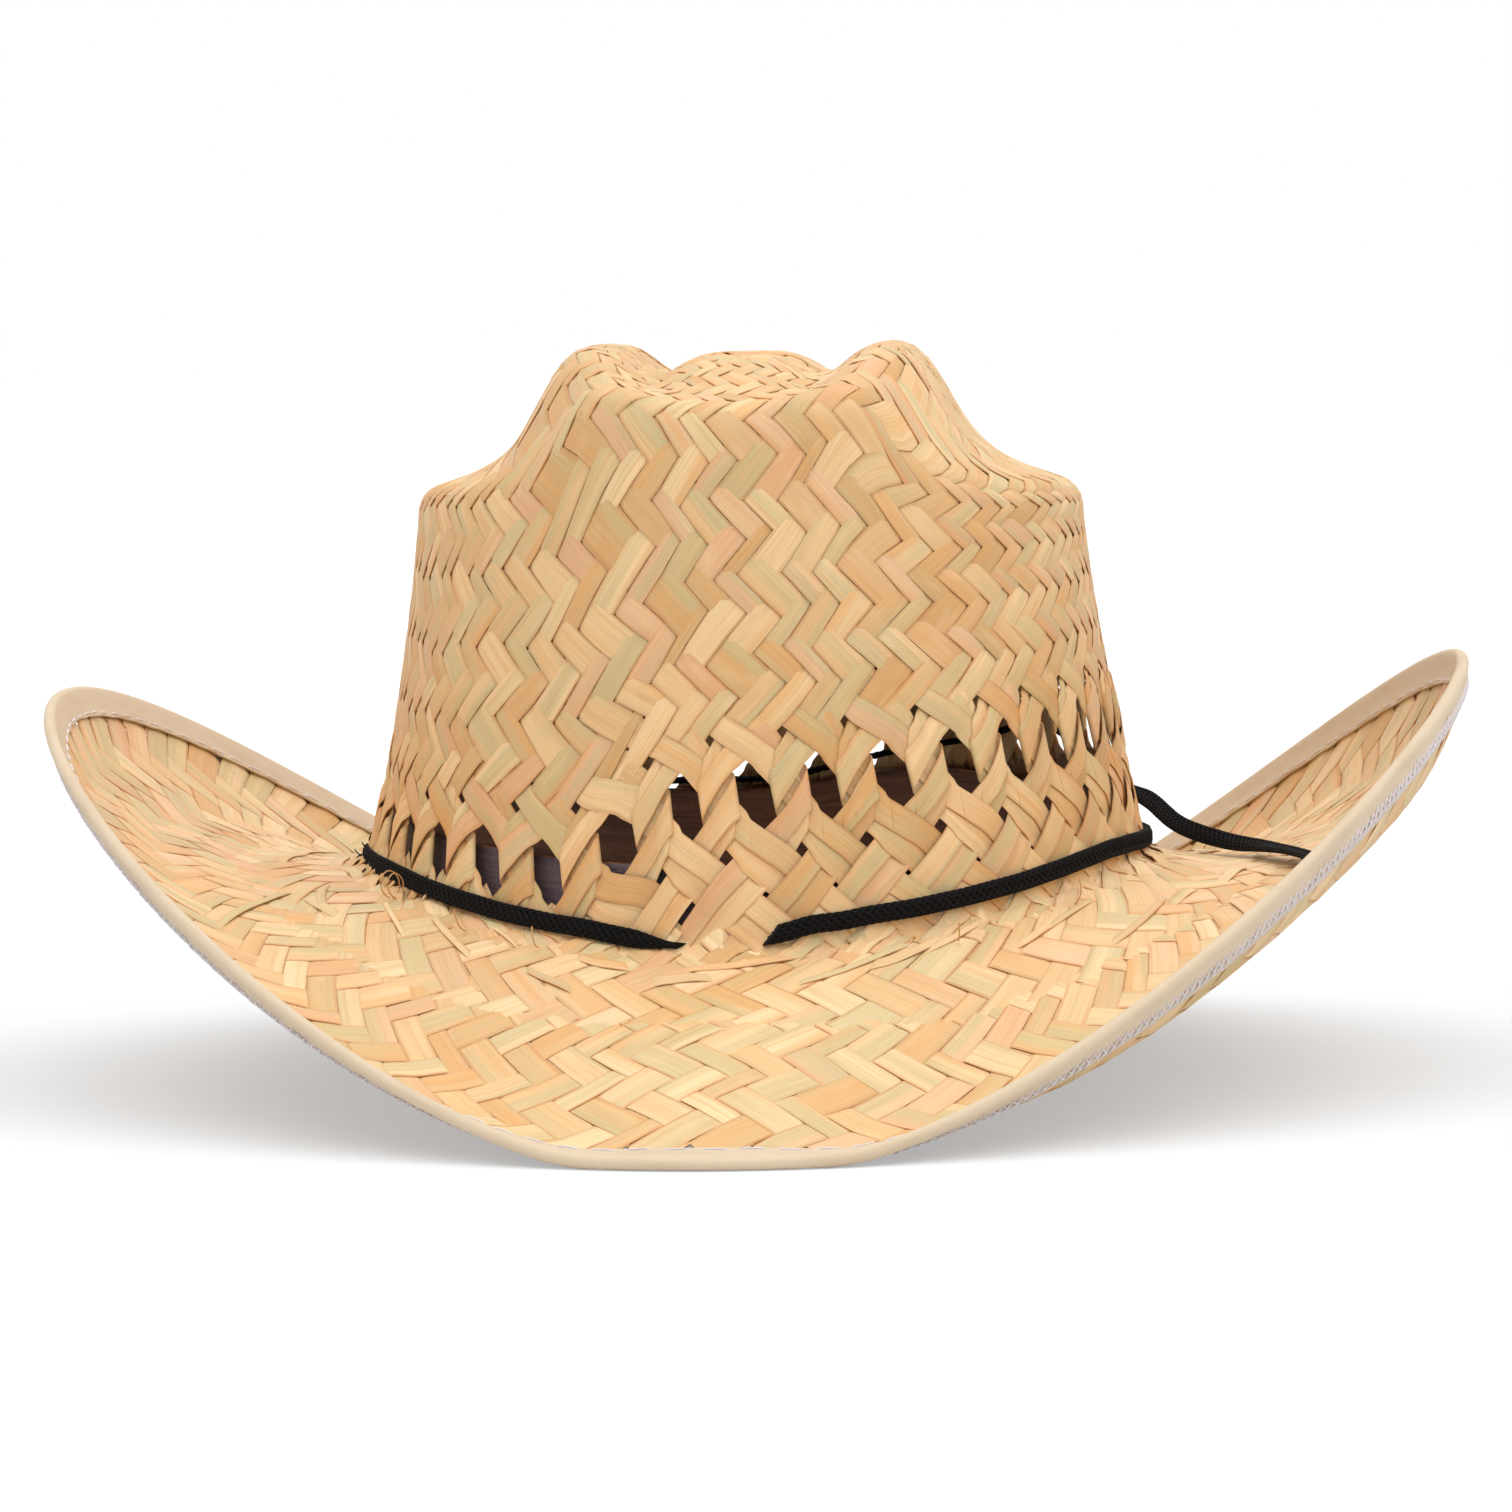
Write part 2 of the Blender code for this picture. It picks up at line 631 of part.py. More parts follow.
def smooth_path(points, count):
    """count points evenly along a Catmull-Rom curve through points."""
    padded = [points[0] * 2 - points[1]] + points + [points[-1] * 2 - points[-2]]
    fine = []
    for k in range(1, len(padded) - 2):
        before, start, end, after = padded[k - 1 : k + 3]
        for step in range(20):
            t = step / 20
            bend = (before * 2 - start * 5 + end * 4 - after) * t * t
            bend += (start * 3 - before - end * 3 + after) * t ** 3
            fine.append((start * 2 + (end - before) * t + bend) / 2)
    fine.append(points[-1])
    length = [0.0]
    for here, there in zip(fine, fine[1:]):
        length.append(length[-1] + (there - here).length)
    even = []
    at = 0
    for k in range(count):
        wanted = length[-1] * k / (count - 1)
        while at < len(fine) - 2 and length[at + 1] < wanted:
            at += 1
        share = (wanted - length[at]) / (length[at + 1] - length[at])
        even.append(fine[at].lerp(fine[at + 1], min(1.0, share)))
    return even


def chin_route():
    """Inside along the back on top of the sweatband, out through a vent, down onto the brim and along it."""
    strands = evenly_round(VENT_COUNT, VENT_PHASE)
    vent = (strands[CHIN_VENT - 1] + strands[CHIN_VENT]) / 2
    route = []
    for value, lift in CHIN_INSIDE:
        angle = math.radians(value)
        height = band_top(angle) + CHIN_RADIUS + 2 * CLEARANCE + lift
        route.append(wall_offset(angle, height, CHIN_INSIDE_OFFSET))
    for turned, height, offset in CHIN_VENT_PASS:
        angle = vent + math.radians(turned)
        route.append(wall_offset(angle, vent_height(angle) + height, offset))
    for value, share, lift in CHIN_ON_BRIM:
        route.append(brim_offset(math.radians(value), share, CHIN_RADIUS + 2 * CLEARANCE + lift))
    return route


def chin_cord():
    points = smooth_path(chin_route(), CHIN_POINTS)
    line = bpy.data.curves.new("chin_cord", "CURVE")
    line.dimensions = "3D"
    line.bevel_depth = CHIN_RADIUS
    line.bevel_resolution = 2
    line.use_fill_caps = True
    spline = line.splines.new("POLY")
    spline.points.add(len(points) - 1)
    for place, point in zip(spline.points, points):
        place.co = (*point, 1)
    cord = bpy.data.objects.new("chin_cord", line)
    bpy.context.scene.collection.objects.link(cord)
    line.materials.append(material("chin_cord", BLACK, 0.9))
    return points


def knot(name, centre, axis):
    """An overhand knot pulled tight, as a rounded bead beyond the cord's end."""
    side = axis.orthogonal().normalized()
    up = axis.cross(side).normalized()
    sections = []
    for share in (0.06, 0.25, 0.5, 0.75, 0.94):
        turn = math.pi * share
        middle = centre - axis * (KNOT_RADIUS * math.cos(turn))
        sections.append(round_section(middle, side, up, KNOT_RADIUS * math.sin(turn), 8))
    add_sweep(name, sections, BLACK, closed=False, roughness=0.9)


def chin_knots(points):
    reach = KNOT_RADIUS + CLEARANCE
    first = (points[0] - points[1]).normalized()
    last = (points[-1] - points[-2]).normalized()
    knot("chin_cord_anchor_knot", points[0] + first * reach, first)
    knot("chin_cord_end_knot", points[-1] + last * reach, last)


def build():
    for item in list(bpy.data.objects):
        bpy.data.objects.remove(item, do_unlink=True)
    crown_upper()
    vent_strands()
    crown_base_band()
    brim()
    brim_wire()
    brim_binding()
    edge_threads()
    sweatband()
    seam_tape()
    band_thread()
    hat_cord()
    chin_knots(chin_cord())


build()
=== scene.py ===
"""Woven straw western hat: the looks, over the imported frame. Metres, +Z up; the front of the hat looks along -Y."""

import math

import bmesh
import bpy
import numpy as np
from mathutils import Matrix, Vector


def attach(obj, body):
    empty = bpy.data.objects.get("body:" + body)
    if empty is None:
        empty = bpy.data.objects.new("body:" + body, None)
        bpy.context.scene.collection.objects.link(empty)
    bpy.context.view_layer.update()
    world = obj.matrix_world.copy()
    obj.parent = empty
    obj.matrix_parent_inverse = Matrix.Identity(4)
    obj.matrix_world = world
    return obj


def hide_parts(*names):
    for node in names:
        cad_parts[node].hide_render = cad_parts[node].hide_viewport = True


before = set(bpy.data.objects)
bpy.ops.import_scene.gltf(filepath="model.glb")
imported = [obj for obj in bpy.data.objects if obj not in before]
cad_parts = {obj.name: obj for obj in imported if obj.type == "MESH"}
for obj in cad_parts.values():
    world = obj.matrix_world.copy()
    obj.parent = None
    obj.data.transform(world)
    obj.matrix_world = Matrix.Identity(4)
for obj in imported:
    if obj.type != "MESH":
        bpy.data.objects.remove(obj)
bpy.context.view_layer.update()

# ---- Shape of the hat: the frame's own functions and values, but for RIDGE_RISE and one row of CHIN_ON_BRIM
CLEARANCE = 0.0003
STRAW = 0.0012
BASE_HALF_WIDTH = 0.0865
BASE_HALF_LENGTH = 0.1040
BASE_FRONT_Z = 0.0354
BASE_SIDE_RISE = 0.0133
SHOULDER_HALF_WIDTH = 0.0738
SHOULDER_HALF_LENGTH = 0.0885
WALL_FLARE = 1.35
CROWN_LEAN = -0.0008
FOLD_SOFTNESS = 0.05
FOLD_TOP_Z = 0.1500
MIDDLE_RISE = 0.0098
CREASE_RUN = 0.045
RIDGE_X_AT_FOLD = 0.0255
RIDGE_X_SPREAD = 0.0080
RIDGE_RISE = 0.0047  # 0.0030 in the frame
RIDGE_CAP = 1.3
VALLEY_DEPTH = 0.0058
VALLEY_SHARE = 0.56
VALLEY_WIDTH = 0.0070
VALLEY_FROM = 0.004
VALLEY_EASE = 0.03
DENT_Z = 0.1300
DENT_FRONT_DROP = 0.0045
DENT_DROP_FROM = 0.015
DENT_DROP_EASE = 0.055
DENT_SLOPE = 0.30
DENT_EDGE = 0.0745
STEP_OUT = 0.0055
STEP_OUT_GAIN = 0.0035
STEP_SOFTNESS = 0.0030
STEP_SOFTNESS_GAIN = 0.0010
VENT_COUNT = 36
VENT_PHASE = math.radians(-92.8)
VENT_LOW_HEIGHT = 0.0085
VENT_HEIGHT_GAIN = 0.0225
VENT_LOW_FROM = 150
VENT_LOW_EASE = 62
VENT_BUMPS = ((-0.0082, -115, 12), (0.0028, -66, 26))  # height, degrees round the hat and span
# How far the hand-made strands at the front stand from their even places, in strands, from STRAY_FROM on
STRAY_FROM = 29
STRAYS = (-0.10, -0.20, -0.25, -0.25, -0.04, 0.01, 0.25, 0.11, 0.11, -0.04, 0.07, 0.18, 0.12, 0.20, 0.20, 0.10)
RIM_HALF_WIDTH = 0.1560
RIM_HALF_LENGTH = 0.1920
RIM_SQUARE_X = 0.08
RIM_SQUARE_Y = 0.018
RIM_MEAN_Z = 0.0398
RIM_ROLL = 0.0436
RIM_ROLL_SHARP = 0.0030
RIM_BACK_RISE = 0.0036
RIM_BACK_SHAPE = 0.0031
RIM_RIGHT_RISE = 0.0017
RIM_RIGHT_SHAPE = 0.0010
RIM_FLOOR_Z = 0.0020
RIM_EASE = 0.0015
START_SLOPES = (-18.0, -8.0, -14.0)  # at the front, the wearer's right and the wearer's left
END_SLOPES = (-20.0, 66.0, 86.0)
SLOPE_BLEND = 0.25
SLOPE_POWER = 1.2
PROFILE_PULL = 0.40
WIRE_OFFSET = 0.0010
RIM_LENGTH = 1.134
TAPE_THICKNESS = 0.0005
BAND_THICKNESS = 0.0012
BAND_TO_WALL = 0.0025
BAND_TOP_Z = 0.0535
BAND_TOP_RISE = 0.0066
BAND_BACK_RISE = 0.0035
BAND_BUMP = (0.0045, 66, 20)
BAND_BELOW_BASE = 0.0010
BAND_SEAM_HALF = 1.0
SEAM_TAPE_HALF = 7.0
SEAM_TAPE_THICKNESS = 0.0005
BAND_STITCH_HEIGHT = 0.0022
BAND_STITCHES = 150
BRAID_WIDTH = 0.0040
BRAID_THICKNESS = 0.0015
BRAID_HEIGHT = 0.0028
BRAID_RISE = 0.0024
BRAID_RISE_SPAN = (-82, 12, 0, 30)  # where it starts and has risen after, where it ends and falls before
BRAID_LEFT_END = 187.0
BRAID_END_GAP = 8.0
CHIN_RADIUS = 0.0015
CHIN_POINTS = 50
KNOT_RADIUS = 0.0033
CHIN_INSIDE_OFFSET = -0.0050
CHIN_INSIDE = ((126, 0.0018), (120, 0.0008), (112, 0), (102, 0), (90, 0), (78, 0.0012), (66, 0.0027), (57, 0.0047))
CHIN_VENT = 14
CHIN_VENT_PASS = ((3.5, -0.001, -0.0045), (0, 0.000, -0.0005), (-4, -0.004, 0.0045), (-13, -0.0178, 0.0075),
                  (-23, -0.0226, 0.0078))
CHIN_ON_BRIM = ((10, 0.09, 0.0035), (2, 0.19, 0.0009), (-5, 0.29, 0.0003), (-12, 0.40, 0.0003),
                (-18, 0.52, 0.0003), (-24, 0.61, 0.0006), (-26, 0.74, 0.0018))  # (-28, 0.65, 0.0018) in the frame
TURN = 2 * math.pi
MM = 0.001
UP = np.array([0.0, 0.0, 1.0])


def smooth(value):
    value = np.clip(value, 0, 1)
    return value * value * (3 - 2 * value)


def mix(start, end, share):
    return start + (end - start) * share


def stacked(*values):
    """Arrays that broadcast together, as the components of one more axis."""
    return np.stack(np.broadcast_arrays(*values), -1).astype(float)


def unit(vectors):
    return vectors / np.linalg.norm(vectors, axis=-1, keepdims=True)


def bump(value, height, at, span):
    return height * np.exp(-(((value - at) / span) ** 2))


def between(value, start, ease_in, end, ease_out):
    return smooth((value - start) / ease_in) * smooth((end - value) / ease_out)


def signed_degrees(angle):
    return np.degrees(np.arctan2(np.sin(angle), np.cos(angle)))


def run_length(points):
    """Length along a line of points up to each of them."""
    return np.concatenate([[0], np.cumsum(np.linalg.norm(np.diff(points, axis=0), axis=1))])


def base_z(angle):
    return BASE_FRONT_Z + BASE_SIDE_RISE * np.cos(angle) ** 2


def base_point(angle):
    return stacked(BASE_HALF_WIDTH * np.cos(angle), BASE_HALF_LENGTH * np.sin(angle), base_z(angle))


def top_z(x, y):
    """Height of the creased top: a ridge on each side of the middle, and a dent outside each."""
    across = np.abs(x)
    from_fold = SHOULDER_HALF_LENGTH - np.abs(y)
    inner = smooth(from_fold / CREASE_RUN)
    ridge_x = RIDGE_X_AT_FOLD + RIDGE_X_SPREAD * inner
    ridge = RIDGE_RISE * np.minimum(RIDGE_CAP, across / ridge_x) ** 2
    valley = bump(across, VALLEY_DEPTH, VALLEY_SHARE * ridge_x, VALLEY_WIDTH)
    valley = valley * smooth((from_fold - VALLEY_FROM) / VALLEY_EASE)
    raised = FOLD_TOP_Z + MIDDLE_RISE * inner + ridge - valley
    dent = DENT_Z - DENT_FRONT_DROP * smooth((np.abs(y) - DENT_DROP_FROM) / DENT_DROP_EASE)
    dent = dent + DENT_SLOPE * np.maximum(0.0, DENT_EDGE - across)
    step_x = ridge_x + STEP_OUT + STEP_OUT_GAIN * inner
    share = 1 / (1 + np.exp((across - step_x) / (STEP_SOFTNESS + STEP_SOFTNESS_GAIN * inner)))
    return mix(dent, raised, share)


def top_at(x, y):
    return stacked(x + CROWN_LEAN, y, top_z(x, y))


def top_point(angle, reach):
    return top_at(SHOULDER_HALF_WIDTH * np.cos(angle) * reach, SHOULDER_HALF_LENGTH * np.sin(angle) * reach)


def fold_height(angle):
    return top_point(angle, 1.0)[..., 2] - base_z(angle)


def raw_crown(angle, along):
    base = base_point(angle)
    fold = top_point(angle, 1.0)
    flare = (1 - np.clip(along, 0, 1)) ** WALL_FLARE
    wall = fold + (base - fold) * flare[..., None]
    wall[..., 2] = base[..., 2] + (fold[..., 2] - base[..., 2]) * along
    return np.where((along <= 1)[..., None], wall, top_point(angle, 2 - along))


def crown_point(angle, along):
    angle, along = np.broadcast_arrays(np.asarray(angle, float), np.asarray(along, float))
    reach = np.minimum(FOLD_SOFTNESS, np.minimum(np.maximum(0.0, along), 2 - along))
    return sum(raw_crown(angle, along + reach * step) for step in (-1, -0.5, 0, 0.5, 1)) / 5


def surface_normal(surface, angle, along, step=0.01):
    around = surface(angle + step, along) - surface(angle - step, along)
    outward = surface(angle, along + step) - surface(angle, along - step)
    return unit(np.cross(around, outward))


def wall_along(angle, height):
    return height / fold_height(angle)


def wall_offset(angle, height, offset):
    along = wall_along(angle, height)
    return crown_point(angle, along) + surface_normal(crown_point, angle, along) * np.asarray(offset)[..., None]


def vent_height(angle):
    """Height of the vent row's middle above the brim line; it runs low on the wearer's right."""
    turned = signed_degrees(angle)
    level = VENT_LOW_HEIGHT + VENT_HEIGHT_GAIN * smooth((VENT_LOW_FROM - np.abs(turned)) / VENT_LOW_EASE)
    return level + sum(bump(turned, *values) for values in VENT_BUMPS)


def rim_point(angle):
    x = RIM_HALF_WIDTH * (np.cos(angle) + RIM_SQUARE_X * np.cos(3 * angle)) / (1 + RIM_SQUARE_X)
    y = RIM_HALF_LENGTH * (np.sin(angle) + RIM_SQUARE_Y * np.sin(3 * angle)) / (1 - RIM_SQUARE_Y)
    z = RIM_MEAN_Z + RIM_ROLL * np.cos(2 * angle) + RIM_ROLL_SHARP * np.cos(4 * angle)
    z = z + RIM_BACK_RISE * np.sin(angle) + RIM_BACK_SHAPE * np.sin(3 * angle)
    z = z + RIM_RIGHT_RISE * np.cos(angle) + RIM_RIGHT_SHAPE * np.cos(3 * angle)
    above = z - RIM_FLOOR_Z
    above = np.where(above < RIM_EASE, np.maximum(0.0, above + RIM_EASE) ** 2 / (4 * RIM_EASE), above)
    return stacked(x, y, RIM_FLOOR_Z + above)


def brim_slopes(angle):
    """Slope of the brim's profile in radians where it leaves the crown and at the rim."""
    across = np.cos(angle)
    left = 0.5 + 0.5 * np.tanh(across / SLOPE_BLEND)
    blends = (np.abs(across) ** SLOPE_POWER, smooth(np.abs(across)))
    return [np.radians(mix(front, mix(right_side, left_side, left), blend))
            for (front, right_side, left_side), blend in zip((START_SLOPES, END_SLOPES), blends)]


def brim_point(angle, share):
    angle, share = np.broadcast_arrays(np.asarray(angle, float), np.asarray(share, float))
    base = base_point(angle)
    rim = rim_point(angle)
    outward = rim - base
    rise = outward[..., 2].copy()
    outward[..., 2] = 0
    run = np.linalg.norm(outward, axis=-1)
    pull = PROFILE_PULL * np.hypot(run, rise)
    start, end = brim_slopes(angle)
    left = 1 - share
    w1 = 3 * share * left * left
    w2 = 3 * share * share * left
    w3 = share**3
    across = w1 * pull * np.cos(start) + w2 * (run - pull * np.cos(end)) + w3 * run
    up = w1 * pull * np.sin(start) + w2 * (rise - pull * np.sin(end)) + w3 * rise
    found = base + outward * (across / run)[..., None]
    found[..., 2] += up
    return found


def brim_up(angle, share):
    return -surface_normal(brim_point, angle, share)


def brim_offset(angle, share, offset):
    return brim_point(angle, share) + brim_up(angle, share) * np.asarray(offset, float)[..., None]


def share_from_edge(angle, distance):
    edge = np.linalg.norm(brim_point(angle, 1.0) - brim_point(angle, 0.9), axis=-1) / 0.1
    return 1 - distance / edge


FINE = VENT_PHASE + TURN * np.arange(4321) / 4320


def evenly(points, count):
    """Lookup from a position in 0..count, shared evenly by length along a closed line, to the angle."""
    length = run_length(points)
    places = length / length[-1] * count

    def angle_of(position):
        turns = np.floor(position / count)
        return np.interp(position - turns * count, places, FINE) + turns * TURN

    return angle_of


even_vent_angle = evenly(crown_point(FINE, wall_along(FINE, vent_height(FINE))), VENT_COUNT)
VENT_STRAY = np.roll(np.append(STRAYS, np.zeros(VENT_COUNT - len(STRAYS))), STRAY_FROM)


def vent_angle(u):
    near = np.floor(u).astype(int)
    share = u - near
    stray = mix(VENT_STRAY[near % VENT_COUNT], VENT_STRAY[(near + 1) % VENT_COUNT], share)
    return even_vent_angle(u + stray)


# ---- Materials


def rgb(red, green, blue):
    """Linear colour of an sRGB one given in 0..255."""
    channels = []
    for value in (red, green, blue):
        value /= 255
        channels.append(value / 12.92 if value <= 0.04045 else ((value + 0.055) / 1.055) ** 2.4)
    return (*channels, 1.0)


def new_material(name):
    made = bpy.data.materials.new(name)
    made.use_nodes = True
    tree = made.node_tree
    return made, Nodes(tree), tree.nodes["Principled BSDF"]


class Nodes:
    """Short hand for wiring up a material's nodes."""

    def __init__(self, tree):
        self.tree = tree

    def put(self, node, values):
        """Links or sets a node's inputs."""
        for name, value in values.items():
            if hasattr(value, "is_output"):
                self.tree.links.new(value, node.inputs[name])
            else:
                node.inputs[name].default_value = value
        return node

    def add(self, kind, **inputs):
        return self.put(self.tree.nodes.new(kind), inputs)

    def numbered(self, kind, *values, **settings):
        """A node of a kind whose inputs are told apart by number."""
        node = self.tree.nodes.new(kind)
        for name, value in settings.items():
            setattr(node, name, value)
        return self.put(node, dict(enumerate(values)))

    def math(self, operation, first, second=0.0):
        return self.numbered("ShaderNodeMath", first, second, operation=operation).outputs[0]

    def blend(self, share, first, second, kind="MIX"):
        node = self.numbered("ShaderNodeMix", share, data_type="RGBA", blend_type=kind, clamp_factor=True)
        return self.put(node, {6: first, 7: second}).outputs[2]

    def ramp(self, value, low, high, out_low=0.0, out_high=1.0):
        return self.numbered("ShaderNodeMapRange", value, low, high, out_low, out_high).outputs[0]

    def wash(self, color, *layers):
        """Lays colours over color. A layer: a value, where it starts and is full, its strength, its sRGB colour."""
        for value, low, high, strength, tone in layers:
            color = self.blend(self.ramp(value, low, high, 0.0, strength), color, rgb(*tone))
        return color

    def noise(self, vector, detail=2.0, roughness=0.5, scale=1.0):
        return self.add("ShaderNodeTexNoise", Vector=vector, Scale=scale, Detail=detail,
                        Roughness=roughness).outputs[0]

    def wave(self, vector, scale, distortion):
        return self.add("ShaderNodeTexWave", Vector=vector, Scale=scale, Distortion=distortion).outputs[1]

    def at(self, place="Object"):
        return self.add("ShaderNodeTexCoord").outputs[place]

    def stretched(self, across, along, vector=None):
        """The UV map, which is in millimetres, scaled across and along the piece."""
        return self.add("ShaderNodeMapping", Vector=vector or self.at("UV"), Scale=(across, along, 1)).outputs[0]

    def bump(self, shader, height, strength, distance):
        node = self.add("ShaderNodeBump", Strength=strength, Distance=distance, Height=height)
        self.put(shader, {"Normal": node.outputs[0]})


def straw_material(name, dark, pale):
    """Palm-leaf strips: a colour per strip, streaks and fine fibres along it, warm cut edges, brown specks, and
    painted shade on the inner faces.
    """
    made, n, shader = new_material(name)
    tint = n.numbered("ShaderNodeAttribute", attribute_name="tint")
    light, green, pink = n.add("ShaderNodeSeparateColor", Color=tint.outputs["Color"]).outputs
    fibre = n.noise(n.stretched(4.4, 0.05), 3.0, 0.6)
    streak = n.noise(n.stretched(1.1, 0.02), 2.0, 0.55)
    vein = n.noise(n.stretched(0.20, 0.008), 1.0, 0.5)
    patch = n.noise(n.stretched(0.16, 0.07), 2.0, 0.5)
    speck = n.noise(n.stretched(0.50, 0.22), 3.0, 0.7)
    greenish = n.math("ADD", vein, n.math("MULTIPLY", green, 0.12))
    color = n.blend(n.ramp(light, 0.05, 0.95), rgb(*dark), rgb(*pale))
    color = n.wash(color, (pink, 0.72, 0.98, 0.55, (230, 178, 142)), (greenish, 0.54, 0.72, 0.66, (198, 184, 134)),
                   (vein, 0.44, 0.30, 0.55, (226, 166, 100)), (streak, 0.50, 0.74, 0.45, (214, 158, 96)),
                   (patch, 0.56, 0.78, 0.35, (198, 186, 138)), (patch, 0.44, 0.22, 0.40, (246, 212, 164)))
    shade = n.ramp(fibre, 0.30, 0.70, 0.86, 1.06)
    shade = n.add("ShaderNodeCombineColor", Red=shade, Green=shade, Blue=shade).outputs[0]
    color = n.blend(1.0, color, shade, "MULTIPLY")
    away = n.math("ABSOLUTE", n.math("SUBTRACT", tint.outputs["Alpha"], 0.5))
    edge = n.math("MULTIPLY", n.ramp(away, 0.38, 0.5), n.ramp(streak, 0.38, 0.62, 0.10, 0.75))
    # The last layer is painted shade: faces inside the hat, whose light value is below zero, turn dark brown
    color = n.wash(n.blend(edge, color, rgb(186, 122, 66)), (speck, 0.735, 0.80, 0.60, (136, 98, 54)),
                   (light, -0.2, -0.9, 0.70, (96, 60, 34)))
    n.put(shader, {"Base Color": color, "Roughness": n.ramp(fibre, 0.3, 0.7, 0.46, 0.64), "Specular IOR Level": 0.42})
    n.bump(shader, n.math("ADD", fibre, n.math("MULTIPLY", streak, 0.8)), 0.5, 0.12 * MM)
    return made


def cloth_material(name, color, shade, warp_scale):
    """Narrow woven tape: warp and weft in the colour and the bump, with faint stains."""
    made, n, shader = new_material(name)
    turned = n.add("ShaderNodeMapping", Vector=n.at("UV"), Rotation=(0, 0, math.pi / 2)).outputs[0]
    warp = n.wave(n.stretched(warp_scale, 0.02), 1.0, 1.2)
    weft = n.wave(n.stretched(warp_scale * 0.8, 0.02, turned), 1.0, 1.2)
    threads = n.math("ADD", n.math("MULTIPLY", warp, 0.5), n.math("MULTIPLY", weft, 0.5))
    soil = n.noise(n.stretched(0.25, 0.03), 4.0, 0.6)
    mixed = n.blend(n.ramp(threads, 0.2, 0.8, 0.35, 0.0), rgb(*color), rgb(*shade))
    mixed = n.wash(mixed, (soil, 0.5, 0.8, 0.4, shade))
    n.put(shader, {"Base Color": mixed, "Roughness": n.ramp(soil, 0.3, 0.7, 0.75, 0.85), "Specular IOR Level": 0.25,
                   "Sheen Weight": 0.15})
    n.bump(shader, threads, 0.5, 0.15 * MM)
    return made


def yarn_material(name, color, shade, sheen=0.1, roughness=0.9):
    """Spun or twisted thread: slanting fibres along it, and a fuzzy sheen."""
    made, n, shader = new_material(name)
    twist = n.wave(n.stretched(0.9, 0.5), 1.6, 2.5)
    fuzz = n.noise(n.at(), 3.0, 0.7, 2600.0)
    mixed = n.blend(n.ramp(n.math("MULTIPLY", twist, fuzz), 0.1, 0.6), rgb(*shade), rgb(*color))
    n.put(shader, {"Base Color": mixed, "Roughness": n.ramp(fuzz, 0.3, 0.7, roughness - 0.12, roughness),
                   "Specular IOR Level": 0.15, "Sheen Weight": sheen})
    n.bump(shader, n.math("ADD", twist, fuzz), 0.6, 0.12 * MM)
    return made


def leatherette_material(name, color, worn, pore):
    """Coated cloth: fine pores, creases that run round the band, and worn streaks."""
    made, n, shader = new_material(name)
    pores = n.add("ShaderNodeTexVoronoi", Vector=n.stretched(1.3, 1.3), Scale=1.0).outputs["Distance"]
    crease = n.noise(n.stretched(0.9, 0.05), 4.0, 0.65)
    wear = n.noise(n.stretched(0.35, 0.012), 4.0, 0.6)
    mixed = n.wash(rgb(*color), (wear, 0.40, 0.66, 1.0, worn), (crease, 0.50, 0.72, 0.7, pore),
                   (pores, 0.3, 0.0, 0.5, pore))
    n.put(shader, {"Base Color": mixed, "Roughness": n.ramp(wear, 0.3, 0.7, 0.42, 0.62)})
    n.bump(shader, n.math("ADD", pores, crease), 0.5, 0.2 * MM)
    return made


def wire_material(name):
    """Dull steel with some rust."""
    made, n, shader = new_material(name)
    dull = n.noise(n.at(), 4.0, 0.6, 900.0)
    n.put(shader, {"Base Color": n.wash(rgb(168, 166, 160), (dull, 0.5, 0.7, 1.0, (120, 92, 66))),
                   "Roughness": n.ramp(dull, 0.3, 0.7, 0.3, 0.6), "Metallic": 1.0})
    return made


# ---- Meshes


def tube_faces(start, shape, closed):
    """Faces of tubes whose points are numbered from start, by tube, ring and side."""
    index = start + np.arange(np.prod(shape)).reshape(shape)
    beside = np.roll(index, -1, 2)
    quads = np.stack([index, beside, np.roll(beside, -1, 1), np.roll(index, -1, 1)], -1)
    if closed:
        return quads.reshape(-1, 4).tolist()
    return quads[:, :-1].reshape(-1, 4).tolist() + index[:, [0, -1]].reshape(-1, shape[2]).tolist()


def joined(name, groups, closed=False, sharp=42):
    """One object of arrays of tubes. A group is points, UVs in millimetres and colours, by tube, ring and side."""
    faces = []
    start = 0
    for points, *_ in groups:
        faces += tube_faces(start, points.shape[:3], closed)
        start += points.size // 3
    points, uv, tint = [
        None if parts[0] is None else np.concatenate([part.reshape(-1, part.shape[-1]) for part in parts])
        for parts in zip(*groups)]
    mesh = bpy.data.meshes.new(name)
    mesh.from_pydata(points.tolist(), [], faces)
    shape = bmesh.new()
    shape.from_mesh(mesh)
    bmesh.ops.recalc_face_normals(shape, faces=shape.faces)
    shape.to_mesh(mesh)
    shape.free()
    corner = np.empty(len(mesh.loops), dtype=np.int32)
    mesh.loops.foreach_get("vertex_index", corner)
    mesh.uv_layers.new(name="UVMap").data.foreach_set("uv", uv[corner].astype(np.float32).ravel())
    if tint is not None:
        colors = mesh.attributes.new("tint", "FLOAT_COLOR", "POINT")
        colors.data.foreach_set("color", tint.astype(np.float32).ravel())
    mesh.shade_smooth()
    mesh.set_sharp_from_angle(angle=math.radians(sharp))
    made = bpy.data.objects.new(name, mesh)
    bpy.context.scene.collection.objects.link(made)
    return made


